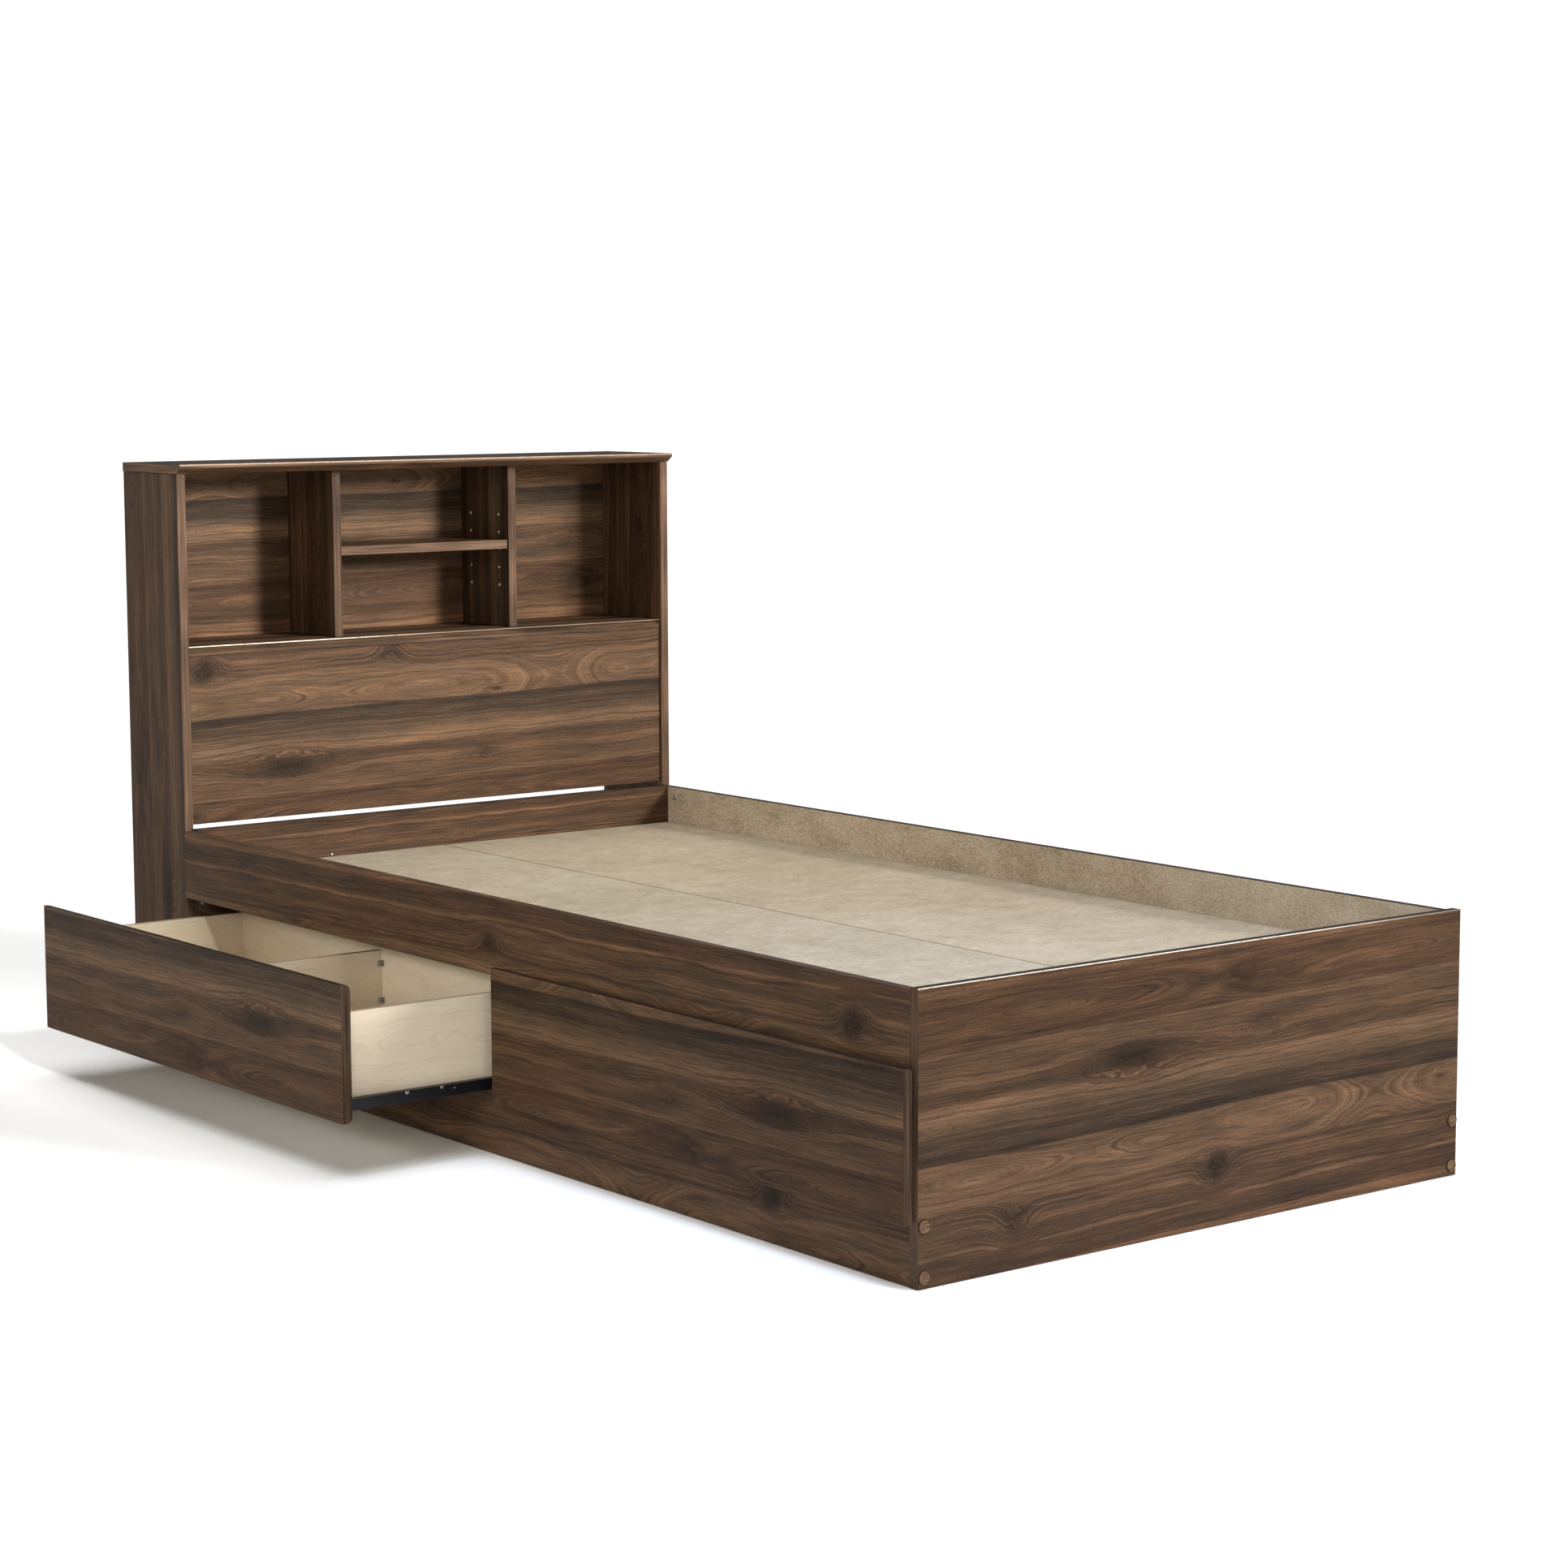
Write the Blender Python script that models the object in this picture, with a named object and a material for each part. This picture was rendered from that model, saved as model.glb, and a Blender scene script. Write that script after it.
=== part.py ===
"""Twin platform bed with a bookcase headboard and two drawers under its left side.

+Z is up, +Y runs from the foot end to the headboard and +X to the sleeper's right.
The origin is on the floor, at the middle of the bed case. Everything is in metres.
"""

import math

import bmesh
import bpy
from mathutils import Matrix, Vector

# Sheet material, and the gap left between pieces that touch.
BOARD = 0.016
DRAWER_BOARD = 0.012
HARDBOARD = 0.003
FIT = 0.0003

# Bed case. The rails leave a 991 x 1911 mm recess for a twin mattress.
CASE_LENGTH = 1.943
FOOT_WIDTH = 1.025
END_PANEL_HEIGHT = 0.392
RAIL_INSET = 0.001
RAIL_TOP = 0.389
UPPER_RAIL_BOTTOM = 0.274
LOWER_RAIL_TOP = 0.0975
PLATFORM_TOP = 0.3225
PLATFORM_THICKNESS = 0.012
PLATFORM_SEAM = 0.0008
LEDGER_WIDTH = 0.020
LEDGER_HEIGHT = 0.030

# Screw cover caps on the foot panel.
CAP_RADIUS = 0.010
CAP_THICKNESS = 0.0012
CAP_EDGE_DISTANCE = 0.0105
CAP_HEIGHTS = (0.015, 0.082)

# Bookcase headboard.
HEADBOARD_WIDTH = 1.020
HEADBOARD_DEPTH = 0.192
HEADBOARD_HEIGHT = 1.012
TOP_FRONT_OVERHANG = 0.015
TOP_SIDE_OVERHANG = 0.0015
NOSE_FLAT = 0.006
NOSE_DEPTH = 0.014
DECK_TOP = 0.7025
DECK_SETBACK = 0.0045
FRONT_PANEL_BOTTOM = 0.398
FRONT_PANEL_SETBACK = 0.006
DIVIDER_SETBACK = 0.029
MIDDLE_BAY_WIDTH = 0.350
BACK_PANEL_SETBACK = 0.003
STRETCHER_BOTTOM = 0.060
STRETCHER_HEIGHT = 0.100
STRETCHER_SETBACK = 0.010

# Adjustable shelf, on pins in two columns of holes at the 32 mm pitch.
SHELF_BOTTOM = 0.845
SHELF_SETBACK = 0.003
SHELF_SIDE_GAP = 0.001
HOLE_PITCH = 0.032
HOLE_ROWS = (-2, -1, 0, 1, 2)
HOLE_EDGE_DISTANCE = 0.032
HOLE_RADIUS = 0.0028
HOLE_DEPTH = 0.010
PIN_RADIUS = 0.0025
PIN_SHANK = 0.0085
PIN_COLLAR_RADIUS = 0.0040
PIN_COLLAR = 0.0005
PIN_PEG = 0.009

# Drawers.
FRONT_BOTTOM = 0.084
FRONT_TOP = 0.289
FRONT_END_GAP = 0.008
FRONT_MIDDLE_GAP = 0.012
FRONT_REAR_GAP = 0.002
FRONT_EDGE_RADIUS = 0.009
BOX_BOTTOM = 0.1005
BOX_TOP = 0.2455
BOX_DEPTH = 0.350
BOX_DIVIDER_TOP = 0.2405
GROOVE_HEIGHT = 0.012
GROOVE_DEPTH = 0.006
HEAD_END_DRAWER_OPENING = 0.250

# Roller slides: a channel on the case and an angle under each drawer side.
SLIDE_SPACE = 0.0127
SLIDE_LENGTH = 0.348
SHEET = 0.0012
CHANNEL_BOTTOM = 0.0985
CHANNEL_HEIGHT = 0.028
CHANNEL_DEPTH = 0.0092
CHANNEL_SETBACK = 0.001
ANGLE_BOTTOM = 0.0990
ANGLE_HEIGHT = 0.020
ANGLE_FOOT = 0.012
LIP_DEPTH = 0.0085
ROLLER_WIDTH = 0.0066
CASE_ROLLER_RADIUS = 0.0085
DRAWER_ROLLER_RADIUS = 0.0122
ROLLER_BORE_RADIUS = 0.0029
ROLLER_END_DISTANCE = 0.014
AXLE_RADIUS = 0.0025

# Places worked out from the dimensions above.
FOOT_Y = -CASE_LENGTH / 2
HEAD_Y = CASE_LENGTH / 2
RAIL_OUTER_X = FOOT_WIDTH / 2 - RAIL_INSET
RAIL_INNER_X = RAIL_OUTER_X - BOARD
SUPPORT_TOP = PLATFORM_TOP - PLATFORM_THICKNESS - FIT
PLATFORM_UNDERSIDE = PLATFORM_TOP - PLATFORM_THICKNESS
LEDGER_BOTTOM = SUPPORT_TOP - LEDGER_HEIGHT
SIDE_X = HEADBOARD_WIDTH / 2
HEADBOARD_FRONT_Y = HEAD_Y + FIT
HEADBOARD_BACK_Y = HEADBOARD_FRONT_Y + HEADBOARD_DEPTH
HEADBOARD_SIDE_TOP = HEADBOARD_HEIGHT - BOARD - FIT
BACK_PANEL_FRONT_Y = HEADBOARD_BACK_Y - BACK_PANEL_SETBACK - HARDBOARD
FRONT_REAR_X = -RAIL_OUTER_X - FRONT_REAR_GAP

WALNUT = ("walnut_laminate", (0.115, 0.062, 0.036), 0.42, 0.0)
WALNUT_TOP = ("walnut_laminate_top", (0.040, 0.026, 0.019), 0.30, 0.0)
MAPLE = ("maple_melamine", (0.560, 0.430, 0.300), 0.45, 0.0)
FIBREBOARD = ("bare_fibreboard", (0.480, 0.395, 0.275), 0.85, 0.0)
PINE = ("pine_ledger", (0.520, 0.360, 0.190), 0.70, 0.0)
BLACK_STEEL = ("black_painted_steel", (0.012, 0.012, 0.013), 0.38, 0.0)
NYLON = ("white_nylon", (0.620, 0.620, 0.590), 0.50, 0.0)
ZINC = ("zinc_plated_steel", (0.600, 0.600, 0.590), 0.30, 1.0)


def clear_scene():
    for item in list(bpy.data.objects):
        bpy.data.objects.remove(item, do_unlink=True)


def finish_material(finish):
    name, colour, roughness, metallic = finish
    material = bpy.data.materials.get(name)
    if material is None:
        material = bpy.data.materials.new(name)
        material.use_nodes = True
        shader = material.node_tree.nodes["Principled BSDF"]
        shader.inputs["Base Color"].default_value = (*colour, 1.0)
        shader.inputs["Roughness"].default_value = roughness
        shader.inputs["Metallic"].default_value = metallic
    return material


def new_object(name, shape, location, finish, parent=None):
    """Turn a bmesh into a placed object. The bmesh is freed."""
    mesh = bpy.data.meshes.new(name)
    bmesh.ops.recalc_face_normals(shape, faces=shape.faces)
    shape.to_mesh(mesh)
    shape.free()
    item = bpy.data.objects.new(name, mesh)
    item.location = location
    item.parent = parent
    if finish is not None:
        mesh.materials.append(finish_material(finish))
    bpy.context.scene.collection.objects.link(item)
    return item


def board(name, low, high, finish=WALNUT, parent=None):
    """A rectangular board between two opposite corners, with its origin at its middle."""
    low = Vector(low)
    high = Vector(high)
    shape = bmesh.new()
    bmesh.ops.create_cube(shape, size=1.0, matrix=Matrix.Diagonal((*(high - low), 1.0)))
    return new_object(name, shape, (low + high) / 2, finish, parent)


def prism(name, outline, axis, low, high, finish=WALNUT, parent=None):
    """An outline in the plane square to the axis, extruded from low to high along that axis.

    The outline's points are (y, z) for axis X and (x, z) for axis Y.
    """
    middle = (low + high) / 2
    half = (high - low) / 2
    if axis == "X":
        corners = [Vector((-half, u, v)) for u, v in outline]
        along = Vector((high - low, 0.0, 0.0))
        location = (middle, 0.0, 0.0)
    else:
        corners = [Vector((u, -half, v)) for u, v in outline]
        along = Vector((0.0, high - low, 0.0))
        location = (0.0, middle, 0.0)
    shape = bmesh.new()
    face = shape.faces.new([shape.verts.new(corner) for corner in corners])
    swept = bmesh.ops.extrude_face_region(shape, geom=[face])
    moved = [item for item in swept["geom"] if isinstance(item, bmesh.types.BMVert)]
    bmesh.ops.translate(shape, verts=moved, vec=along)
    return new_object(name, shape, location, finish, parent)


def turned(name, profile, sides, location, finish, parent=None, axis="Y", closed=False):
    """A (radius, distance along the axis) profile turned about the X or Y axis.

    A closed profile makes a ring. An open one starts and ends on the axis.
    """
    shape = bmesh.new()
    if axis == "Y":
        verts = [shape.verts.new((radius, along, 0.0)) for radius, along in profile]
        spin_axis = (0.0, 1.0, 0.0)
    else:
        verts = [shape.verts.new((along, radius, 0.0)) for radius, along in profile]
        spin_axis = (1.0, 0.0, 0.0)
    pairs = list(zip(verts, verts[1:]))
    if closed:
        pairs.append((verts[-1], verts[0]))
    edges = [shape.edges.new(pair) for pair in pairs]
    bmesh.ops.spin(
        shape,
        geom=verts + edges,
        cent=(0.0, 0.0, 0.0),
        axis=spin_axis,
        angle=math.tau,
        steps=sides,
        use_merge=True,
    )
    bmesh.ops.remove_doubles(shape, verts=shape.verts, dist=0.00001)
    item = new_object(name, shape, location, finish, parent)
    item.data.shade_smooth()
    item.data.set_sharp_from_angle(angle=math.radians(35))
    return item


def solid_disc(radius, start, end):
    """The profile of a plain cylinder, for turned()."""
    return [(0.0, start), (radius, start), (radius, end), (0.0, end)]


def combine(item, tool, operation):
    """Cut the tool from the item, or join it on, and hide the tool."""
    modifier = item.modifiers.new(operation.lower(), "BOOLEAN")
    modifier.operation = operation
    modifier.solver = "EXACT"
    modifier.object = tool
    tool.hide_render = True
    tool.display_type = "WIRE"


def nosed_outline(back_y, front_y, bottom_z, top_z, chamfer_on_top):
    """A shelf board's end: square at the back, with a flat and a long chamfer at its nose."""
    if chamfer_on_top:
        return [
            (back_y, bottom_z),
            (front_y, bottom_z),
            (front_y, bottom_z + NOSE_FLAT),
            (front_y + NOSE_DEPTH, top_z),
            (back_y, top_z),
        ]
    return [
        (back_y, top_z),
        (front_y, top_z),
        (front_y, top_z - NOSE_FLAT),
        (front_y + NOSE_DEPTH, bottom_z),
        (back_y, bottom_z),
    ]


# Bed case


def build_case_panels():
    board(
        "foot_panel",
        (-FOOT_WIDTH / 2, FOOT_Y, 0.0),
        (FOOT_WIDTH / 2, FOOT_Y + BOARD, END_PANEL_HEIGHT),
    )
    board(
        "head_panel",
        (-RAIL_INNER_X + FIT, HEAD_Y - BOARD, 0.0),
        (RAIL_INNER_X - FIT, HEAD_Y, END_PANEL_HEIGHT),
    )
    rail_start = FOOT_Y + BOARD + FIT
    board(
        "left_upper_rail",
        (-RAIL_OUTER_X, rail_start, UPPER_RAIL_BOTTOM),
        (-RAIL_INNER_X, HEAD_Y, RAIL_TOP),
    )
    board(
        "left_lower_rail",
        (-RAIL_OUTER_X, rail_start, 0.0),
        (-RAIL_INNER_X, HEAD_Y, LOWER_RAIL_TOP),
    )
    board(
        "right_side_panel",
        (RAIL_INNER_X, rail_start, 0.0),
        (RAIL_OUTER_X, HEAD_Y, RAIL_TOP),
    )


def build_centre_panel():
    """The lengthwise panel under the platform's seam, notched for the end ledgers."""
    start = FOOT_Y + BOARD + FIT
    end = HEAD_Y - BOARD - FIT
    notch = LEDGER_WIDTH + 2 * FIT
    notch_bottom = LEDGER_BOTTOM - FIT
    outline = [
        (start, 0.0),
        (end, 0.0),
        (end, notch_bottom),
        (end - notch, notch_bottom),
        (end - notch, SUPPORT_TOP),
        (start + notch, SUPPORT_TOP),
        (start + notch, notch_bottom),
        (start, notch_bottom),
    ]
    prism("centre_panel", outline, "X", -BOARD / 2, BOARD / 2)


def build_cross_panel(name, side):
    """The cross panel on one side of the centre panel, notched for the side ledger."""
    inner = side * (BOARD / 2 + FIT)
    outer = side * (RAIL_INNER_X - FIT)
    notch_x = outer - side * (LEDGER_WIDTH + FIT)
    notch_bottom = LEDGER_BOTTOM - FIT
    outline = [
        (inner, 0.0),
        (outer, 0.0),
        (outer, notch_bottom),
        (notch_x, notch_bottom),
        (notch_x, SUPPORT_TOP),
        (inner, SUPPORT_TOP),
    ]
    prism(name, outline, "Y", -BOARD / 2, BOARD / 2)


def build_ledgers():
    inside = RAIL_INNER_X - FIT
    start = FOOT_Y + BOARD + FIT
    end = HEAD_Y - BOARD - FIT
    for name, side in (("left_ledger", -1), ("right_ledger", 1)):
        reach = sorted((side * inside, side * (inside - LEDGER_WIDTH)))
        board(name, (reach[0], start, LEDGER_BOTTOM), (reach[1], end, SUPPORT_TOP), PINE)
    across = inside - LEDGER_WIDTH - FIT
    board("foot_ledger", (-across, start, LEDGER_BOTTOM), (across, start + LEDGER_WIDTH, SUPPORT_TOP), PINE)
    board("head_ledger", (-across, end - LEDGER_WIDTH, LEDGER_BOTTOM), (across, end, SUPPORT_TOP), PINE)


def build_platform():
    start = FOOT_Y + BOARD + FIT
    end = HEAD_Y - BOARD - FIT
    seam = PLATFORM_SEAM / 2
    edge = RAIL_INNER_X - FIT
    board(
        "platform_left_board",
        (-edge, start, PLATFORM_UNDERSIDE),
        (-seam, end, PLATFORM_TOP),
        FIBREBOARD,
    )
    board(
        "platform_right_board",
        (seam, start, PLATFORM_UNDERSIDE),
        (edge, end, PLATFORM_TOP),
        FIBREBOARD,
    )


def build_cover_caps():
    """Low domed caps over the screws that hold the foot panel to the rails."""
    rear = -FIT
    shoulder = rear - CAP_THICKNESS / 2
    crown = rear - CAP_THICKNESS
    profile = [
        (0.0, rear),
        (CAP_RADIUS, rear),
        (CAP_RADIUS, shoulder),
        (CAP_RADIUS - CAP_THICKNESS, crown),
        (0.0, crown),
    ]
    for side, side_name in ((-1, "left"), (1, "right")):
        for height, height_name in zip(CAP_HEIGHTS, ("lower", "upper")):
            x = side * (FOOT_WIDTH / 2 - CAP_EDGE_DISTANCE)
            turned(f"cover_cap_{side_name}_{height_name}", profile, 24, (x, FOOT_Y, height), WALNUT)


# Headboard


def build_headboard_case():
    for name, side in (("headboard_left_side", -1), ("headboard_right_side", 1)):
        reach = sorted((side * SIDE_X, side * (SIDE_X - BOARD)))
        board(
            name,
            (reach[0], HEADBOARD_FRONT_Y, 0.0),
            (reach[1], HEADBOARD_BACK_Y, HEADBOARD_SIDE_TOP),
        )
    top_reach = SIDE_X + TOP_SIDE_OVERHANG
    top_outline = nosed_outline(
        HEADBOARD_BACK_Y,
        HEADBOARD_FRONT_Y - TOP_FRONT_OVERHANG,
        HEADBOARD_HEIGHT - BOARD,
        HEADBOARD_HEIGHT,
        False,
    )
    prism("headboard_top", top_outline, "X", -top_reach, top_reach, WALNUT_TOP)
    inside = SIDE_X - BOARD - FIT
    deck_outline = nosed_outline(
        BACK_PANEL_FRONT_Y - FIT,
        HEADBOARD_FRONT_Y + DECK_SETBACK,
        DECK_TOP - BOARD,
        DECK_TOP,
        True,
    )
    prism("headboard_deck", deck_outline, "X", -inside, inside)
    board(
        "headboard_front_panel",
        (-inside, HEADBOARD_FRONT_Y + FRONT_PANEL_SETBACK, FRONT_PANEL_BOTTOM),
        (inside, HEADBOARD_FRONT_Y + FRONT_PANEL_SETBACK + BOARD, DECK_TOP - BOARD - FIT),
    )
    board(
        "headboard_back_panel",
        (-inside, BACK_PANEL_FRONT_Y, DECK_TOP - BOARD),
        (inside, BACK_PANEL_FRONT_Y + HARDBOARD, HEADBOARD_SIDE_TOP),
    )
    stretcher_back = HEADBOARD_BACK_Y - STRETCHER_SETBACK
    board(
        "headboard_stretcher",
        (-inside, stretcher_back - BOARD, STRETCHER_BOTTOM),
        (inside, stretcher_back, STRETCHER_BOTTOM + STRETCHER_HEIGHT),
    )


def hole_columns():
    """The two Y places of the shelf pin holes."""
    divider_front = HEADBOARD_FRONT_Y + DIVIDER_SETBACK
    return divider_front + HOLE_EDGE_DISTANCE, BACK_PANEL_FRONT_Y - FIT - HOLE_EDGE_DISTANCE


def pin_height():
    return SHELF_BOTTOM - FIT - PIN_RADIUS


def build_divider(name, side):
    """An upright board between two compartments, drilled for shelf pins on its inner face."""
    near = MIDDLE_BAY_WIDTH / 2
    reach = sorted((side * near, side * (near + BOARD)))
    divider = board(
        name,
        (reach[0], HEADBOARD_FRONT_Y + DIVIDER_SETBACK, DECK_TOP + FIT),
        (reach[1], BACK_PANEL_FRONT_Y - FIT, HEADBOARD_SIDE_TOP),
    )
    drills = bmesh.new()
    for y in hole_columns():
        for row in HOLE_ROWS:
            centre = Vector((side * near, y, pin_height() + row * HOLE_PITCH))
            bmesh.ops.create_cone(
                drills,
                cap_ends=True,
                segments=12,
                radius1=HOLE_RADIUS,
                radius2=HOLE_RADIUS,
                depth=2 * HOLE_DEPTH,
                matrix=Matrix.Translation(centre) @ Matrix.Rotation(math.pi / 2, 4, "Y"),
            )
    drill = new_object(name + "_drill", drills, (0.0, 0.0, 0.0), None)
    combine(divider, drill, "DIFFERENCE")


def build_shelf():
    half = MIDDLE_BAY_WIDTH / 2 - SHELF_SIDE_GAP
    board(
        "adjustable_shelf",
        (-half, HEADBOARD_FRONT_Y + DIVIDER_SETBACK + SHELF_SETBACK, SHELF_BOTTOM),
        (half, BACK_PANEL_FRONT_Y - SHELF_SETBACK, SHELF_BOTTOM + BOARD),
    )


def build_shelf_pins():
    """A shank in the divider's hole, a collar against its face and a peg under the shelf."""
    names = iter(("left_front", "left_rear", "right_front", "right_rear"))
    for side in (-1, 1):
        into = side
        profile = [
            (0.0, into * PIN_SHANK),
            (PIN_RADIUS, into * PIN_SHANK),
            (PIN_RADIUS, -into * FIT),
            (PIN_COLLAR_RADIUS, -into * FIT),
            (PIN_COLLAR_RADIUS, -into * (FIT + PIN_COLLAR)),
            (PIN_RADIUS, -into * (FIT + PIN_COLLAR)),
            (PIN_RADIUS, -into * PIN_PEG),
            (0.0, -into * PIN_PEG),
        ]
        for y in hole_columns():
            place = (side * MIDDLE_BAY_WIDTH / 2, y, pin_height())
            turned("shelf_pin_" + next(names), profile, 12, place, ZINC, axis="X")


# Drawers and their slides


def build_drawer_front(name, start, end, parent):
    """An overlay front whose two rear long edges are rounded as a finger pull."""
    rear = 0.0
    face = -BOARD
    outline = [(face, FRONT_BOTTOM), (face, FRONT_TOP)]
    steps = 5
    for step in range(steps + 1):
        turn = math.pi / 2 * step / steps
        across = rear - FRONT_EDGE_RADIUS * (1 - math.sin(turn))
        outline.append((across, FRONT_TOP - FRONT_EDGE_RADIUS * (1 - math.cos(turn))))
    for step in range(steps + 1):
        turn = math.pi / 2 * step / steps
        across = rear - FRONT_EDGE_RADIUS * (1 - math.cos(turn))
        outline.append((across, FRONT_BOTTOM + FRONT_EDGE_RADIUS * (1 - math.sin(turn))))
    prism(name, outline, "Y", start, end, WALNUT, parent)


def build_drawer_box(name, start, end, parent):
    """Two grooved sides, a back above the bottom, the bottom in its grooves, and a divider."""
    front_x = FIT
    back_x = BOX_DEPTH
    groove_low = BOX_BOTTOM + GROOVE_HEIGHT
    groove_high = groove_low + HARDBOARD + 2 * FIT
    for side, outer, inward in (("foot_side", start, 1), ("head_side", end, -1)):
        inner = outer + inward * DRAWER_BOARD
        groove = inner - inward * GROOVE_DEPTH
        outline = [
            (outer, BOX_BOTTOM),
            (inner, BOX_BOTTOM),
            (inner, groove_low),
            (groove, groove_low),
            (groove, groove_high),
            (inner, groove_high),
            (inner, BOX_TOP),
            (outer, BOX_TOP),
        ]
        prism(f"{name}_{side}", outline, "X", front_x, back_x, MAPLE, parent)
    inside_start = start + DRAWER_BOARD + FIT
    inside_end = end - DRAWER_BOARD - FIT
    board(
        name + "_back",
        (back_x - DRAWER_BOARD, inside_start, groove_high),
        (back_x, inside_end, BOX_TOP),
        MAPLE,
        parent,
    )
    board(
        name + "_bottom",
        (front_x, inside_start - GROOVE_DEPTH + FIT, groove_low + FIT),
        (back_x, inside_end + GROOVE_DEPTH - FIT, groove_low + FIT + HARDBOARD),
        MAPLE,
        parent,
    )
    middle = (start + end) / 2
    board(
        name + "_divider",
        (front_x, middle - DRAWER_BOARD / 2, groove_high),
        (back_x - DRAWER_BOARD - FIT, middle + DRAWER_BOARD / 2, BOX_DIVIDER_TOP),
        MAPLE,
        parent,
    )


def channel_inner_bottom():
    return CHANNEL_BOTTOM + SHEET


def lip_underside():
    return ANGLE_BOTTOM + ANGLE_HEIGHT - SHEET


def build_case_slide(name, face, inward):
    """The channel on a panel's face, open towards the drawer, with its roller at the front."""
    web = face + inward * FIT
    bottom = CHANNEL_BOTTOM
    top = bottom + CHANNEL_HEIGHT
    outline = [
        (web, bottom),
        (web + inward * CHANNEL_DEPTH, bottom),
        (web + inward * CHANNEL_DEPTH, bottom + SHEET),
        (web + inward * SHEET, bottom + SHEET),
        (web + inward * SHEET, top - SHEET),
        (web + inward * CHANNEL_DEPTH, top - SHEET),
        (web + inward * CHANNEL_DEPTH, top),
        (web, top),
    ]
    front = -RAIL_INNER_X + CHANNEL_SETBACK
    channel = prism(name + "_case_member", outline, "X", front, front + SLIDE_LENGTH, BLACK_STEEL)
    axle_x = front + ROLLER_END_DISTANCE
    axle_z = lip_underside() - FIT - CASE_ROLLER_RADIUS
    roller_y = web + inward * (SHEET + 2 * FIT + ROLLER_WIDTH / 2)
    axle_reach = ROLLER_WIDTH / 2 + 2 * FIT + SHEET / 2
    axle = turned(
        name + "_case_axle",
        solid_disc(AXLE_RADIUS, -inward * axle_reach, inward * ROLLER_WIDTH / 2),
        16,
        (axle_x, roller_y, axle_z),
        None,
    )
    combine(channel, axle, "UNION")
    build_roller(name + "_case_roller", CASE_ROLLER_RADIUS, (axle_x, roller_y, axle_z), None)


def build_drawer_slide(name, box_face, inward, parent):
    """The angle under a drawer side, with a running lip and its roller at the rear.

    box_face is the drawer side's outer face, and inward points from the panel to the drawer.
    """
    outer = box_face - inward * (FIT + SHEET)
    flange = outer + inward * SHEET
    under = flange + inward * ANGLE_FOOT
    bottom = ANGLE_BOTTOM
    top = bottom + ANGLE_HEIGHT
    outline = [
        (outer, bottom),
        (under, bottom),
        (under, bottom + SHEET),
        (flange, bottom + SHEET),
        (flange, top),
        (outer, top),
    ]
    start = FIT
    end = start + SLIDE_LENGTH
    angle = prism(name + "_drawer_member", outline, "X", start, end, BLACK_STEEL, parent)
    lip_inner = outer + inward * SHEET / 2
    lip_outline = [
        (lip_inner, lip_underside()),
        (outer - inward * LIP_DEPTH, lip_underside()),
        (outer - inward * LIP_DEPTH, top - SHEET / 4),
        (lip_inner, top - SHEET / 4),
    ]
    lip_end = end - ROLLER_END_DISTANCE - DRAWER_ROLLER_RADIUS - 3 * SHEET
    lip = prism(name + "_lip", lip_outline, "X", start, lip_end, None, parent)
    combine(angle, lip, "UNION")
    axle_x = end - ROLLER_END_DISTANCE
    axle_z = channel_inner_bottom() + FIT + DRAWER_ROLLER_RADIUS
    roller_y = box_face - inward * (SLIDE_SPACE - FIT - SHEET - 2 * FIT - ROLLER_WIDTH / 2)
    axle_reach = abs(outer - roller_y) + SHEET / 2
    axle = turned(
        name + "_drawer_axle",
        solid_disc(AXLE_RADIUS, -inward * ROLLER_WIDTH / 2, inward * axle_reach),
        16,
        (axle_x, roller_y, axle_z),
        None,
        parent,
    )
    combine(angle, axle, "UNION")
    build_roller(name + "_drawer_roller", DRAWER_ROLLER_RADIUS, (axle_x, roller_y, axle_z), parent)


def build_roller(name, radius, place, parent):
    """A nylon roller with eased rims, turning on its axle, with its origin on that axle."""
    half = ROLLER_WIDTH / 2
    ease = ROLLER_WIDTH / 8
    profile = [
        (ROLLER_BORE_RADIUS, -half),
        (radius - ease, -half),
        (radius, -half + ease),
        (radius, half - ease),
        (radius - ease, half),
        (ROLLER_BORE_RADIUS, half),
    ]
    turned(name, profile, 24, place, NYLON, parent, closed=True)


def build_drawer(end_name, bay_start, bay_end, front_start, front_end, opening):
    """One drawer on its slides. Its empty lies on the slide axis, at the closed front's back."""
    slide = bpy.data.objects.new(end_name + "_slide", None)
    slide.location = (FRONT_REAR_X - opening, 0.0, 0.0)
    bpy.context.scene.collection.objects.link(slide)
    box_start = bay_start + SLIDE_SPACE
    box_end = bay_end - SLIDE_SPACE
    build_drawer_front(end_name + "_front", front_start, front_end, slide)
    build_drawer_box(end_name, box_start, box_end, slide)
    for side, face, box_face, inward in (
        ("foot_side", bay_start, box_start, 1),
        ("head_side", bay_end, box_end, -1),
    ):
        name = f"{end_name}_{side}"
        build_case_slide(name, face, inward)
        build_drawer_slide(name, box_face, inward, slide)


def build_drawers():
    middle = BOARD / 2
    half_gap = FRONT_MIDDLE_GAP / 2
    foot_bay = (FOOT_Y + BOARD, -middle)
    head_bay = (middle, HEAD_Y - BOARD)
    foot_front = (FOOT_Y + FRONT_END_GAP, -half_gap)
    head_front = (half_gap, HEAD_Y - FRONT_END_GAP)
    build_drawer("foot_end_drawer", *foot_bay, *foot_front, 0.0)
    build_drawer("head_end_drawer", *head_bay, *head_front, HEAD_END_DRAWER_OPENING)


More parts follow.
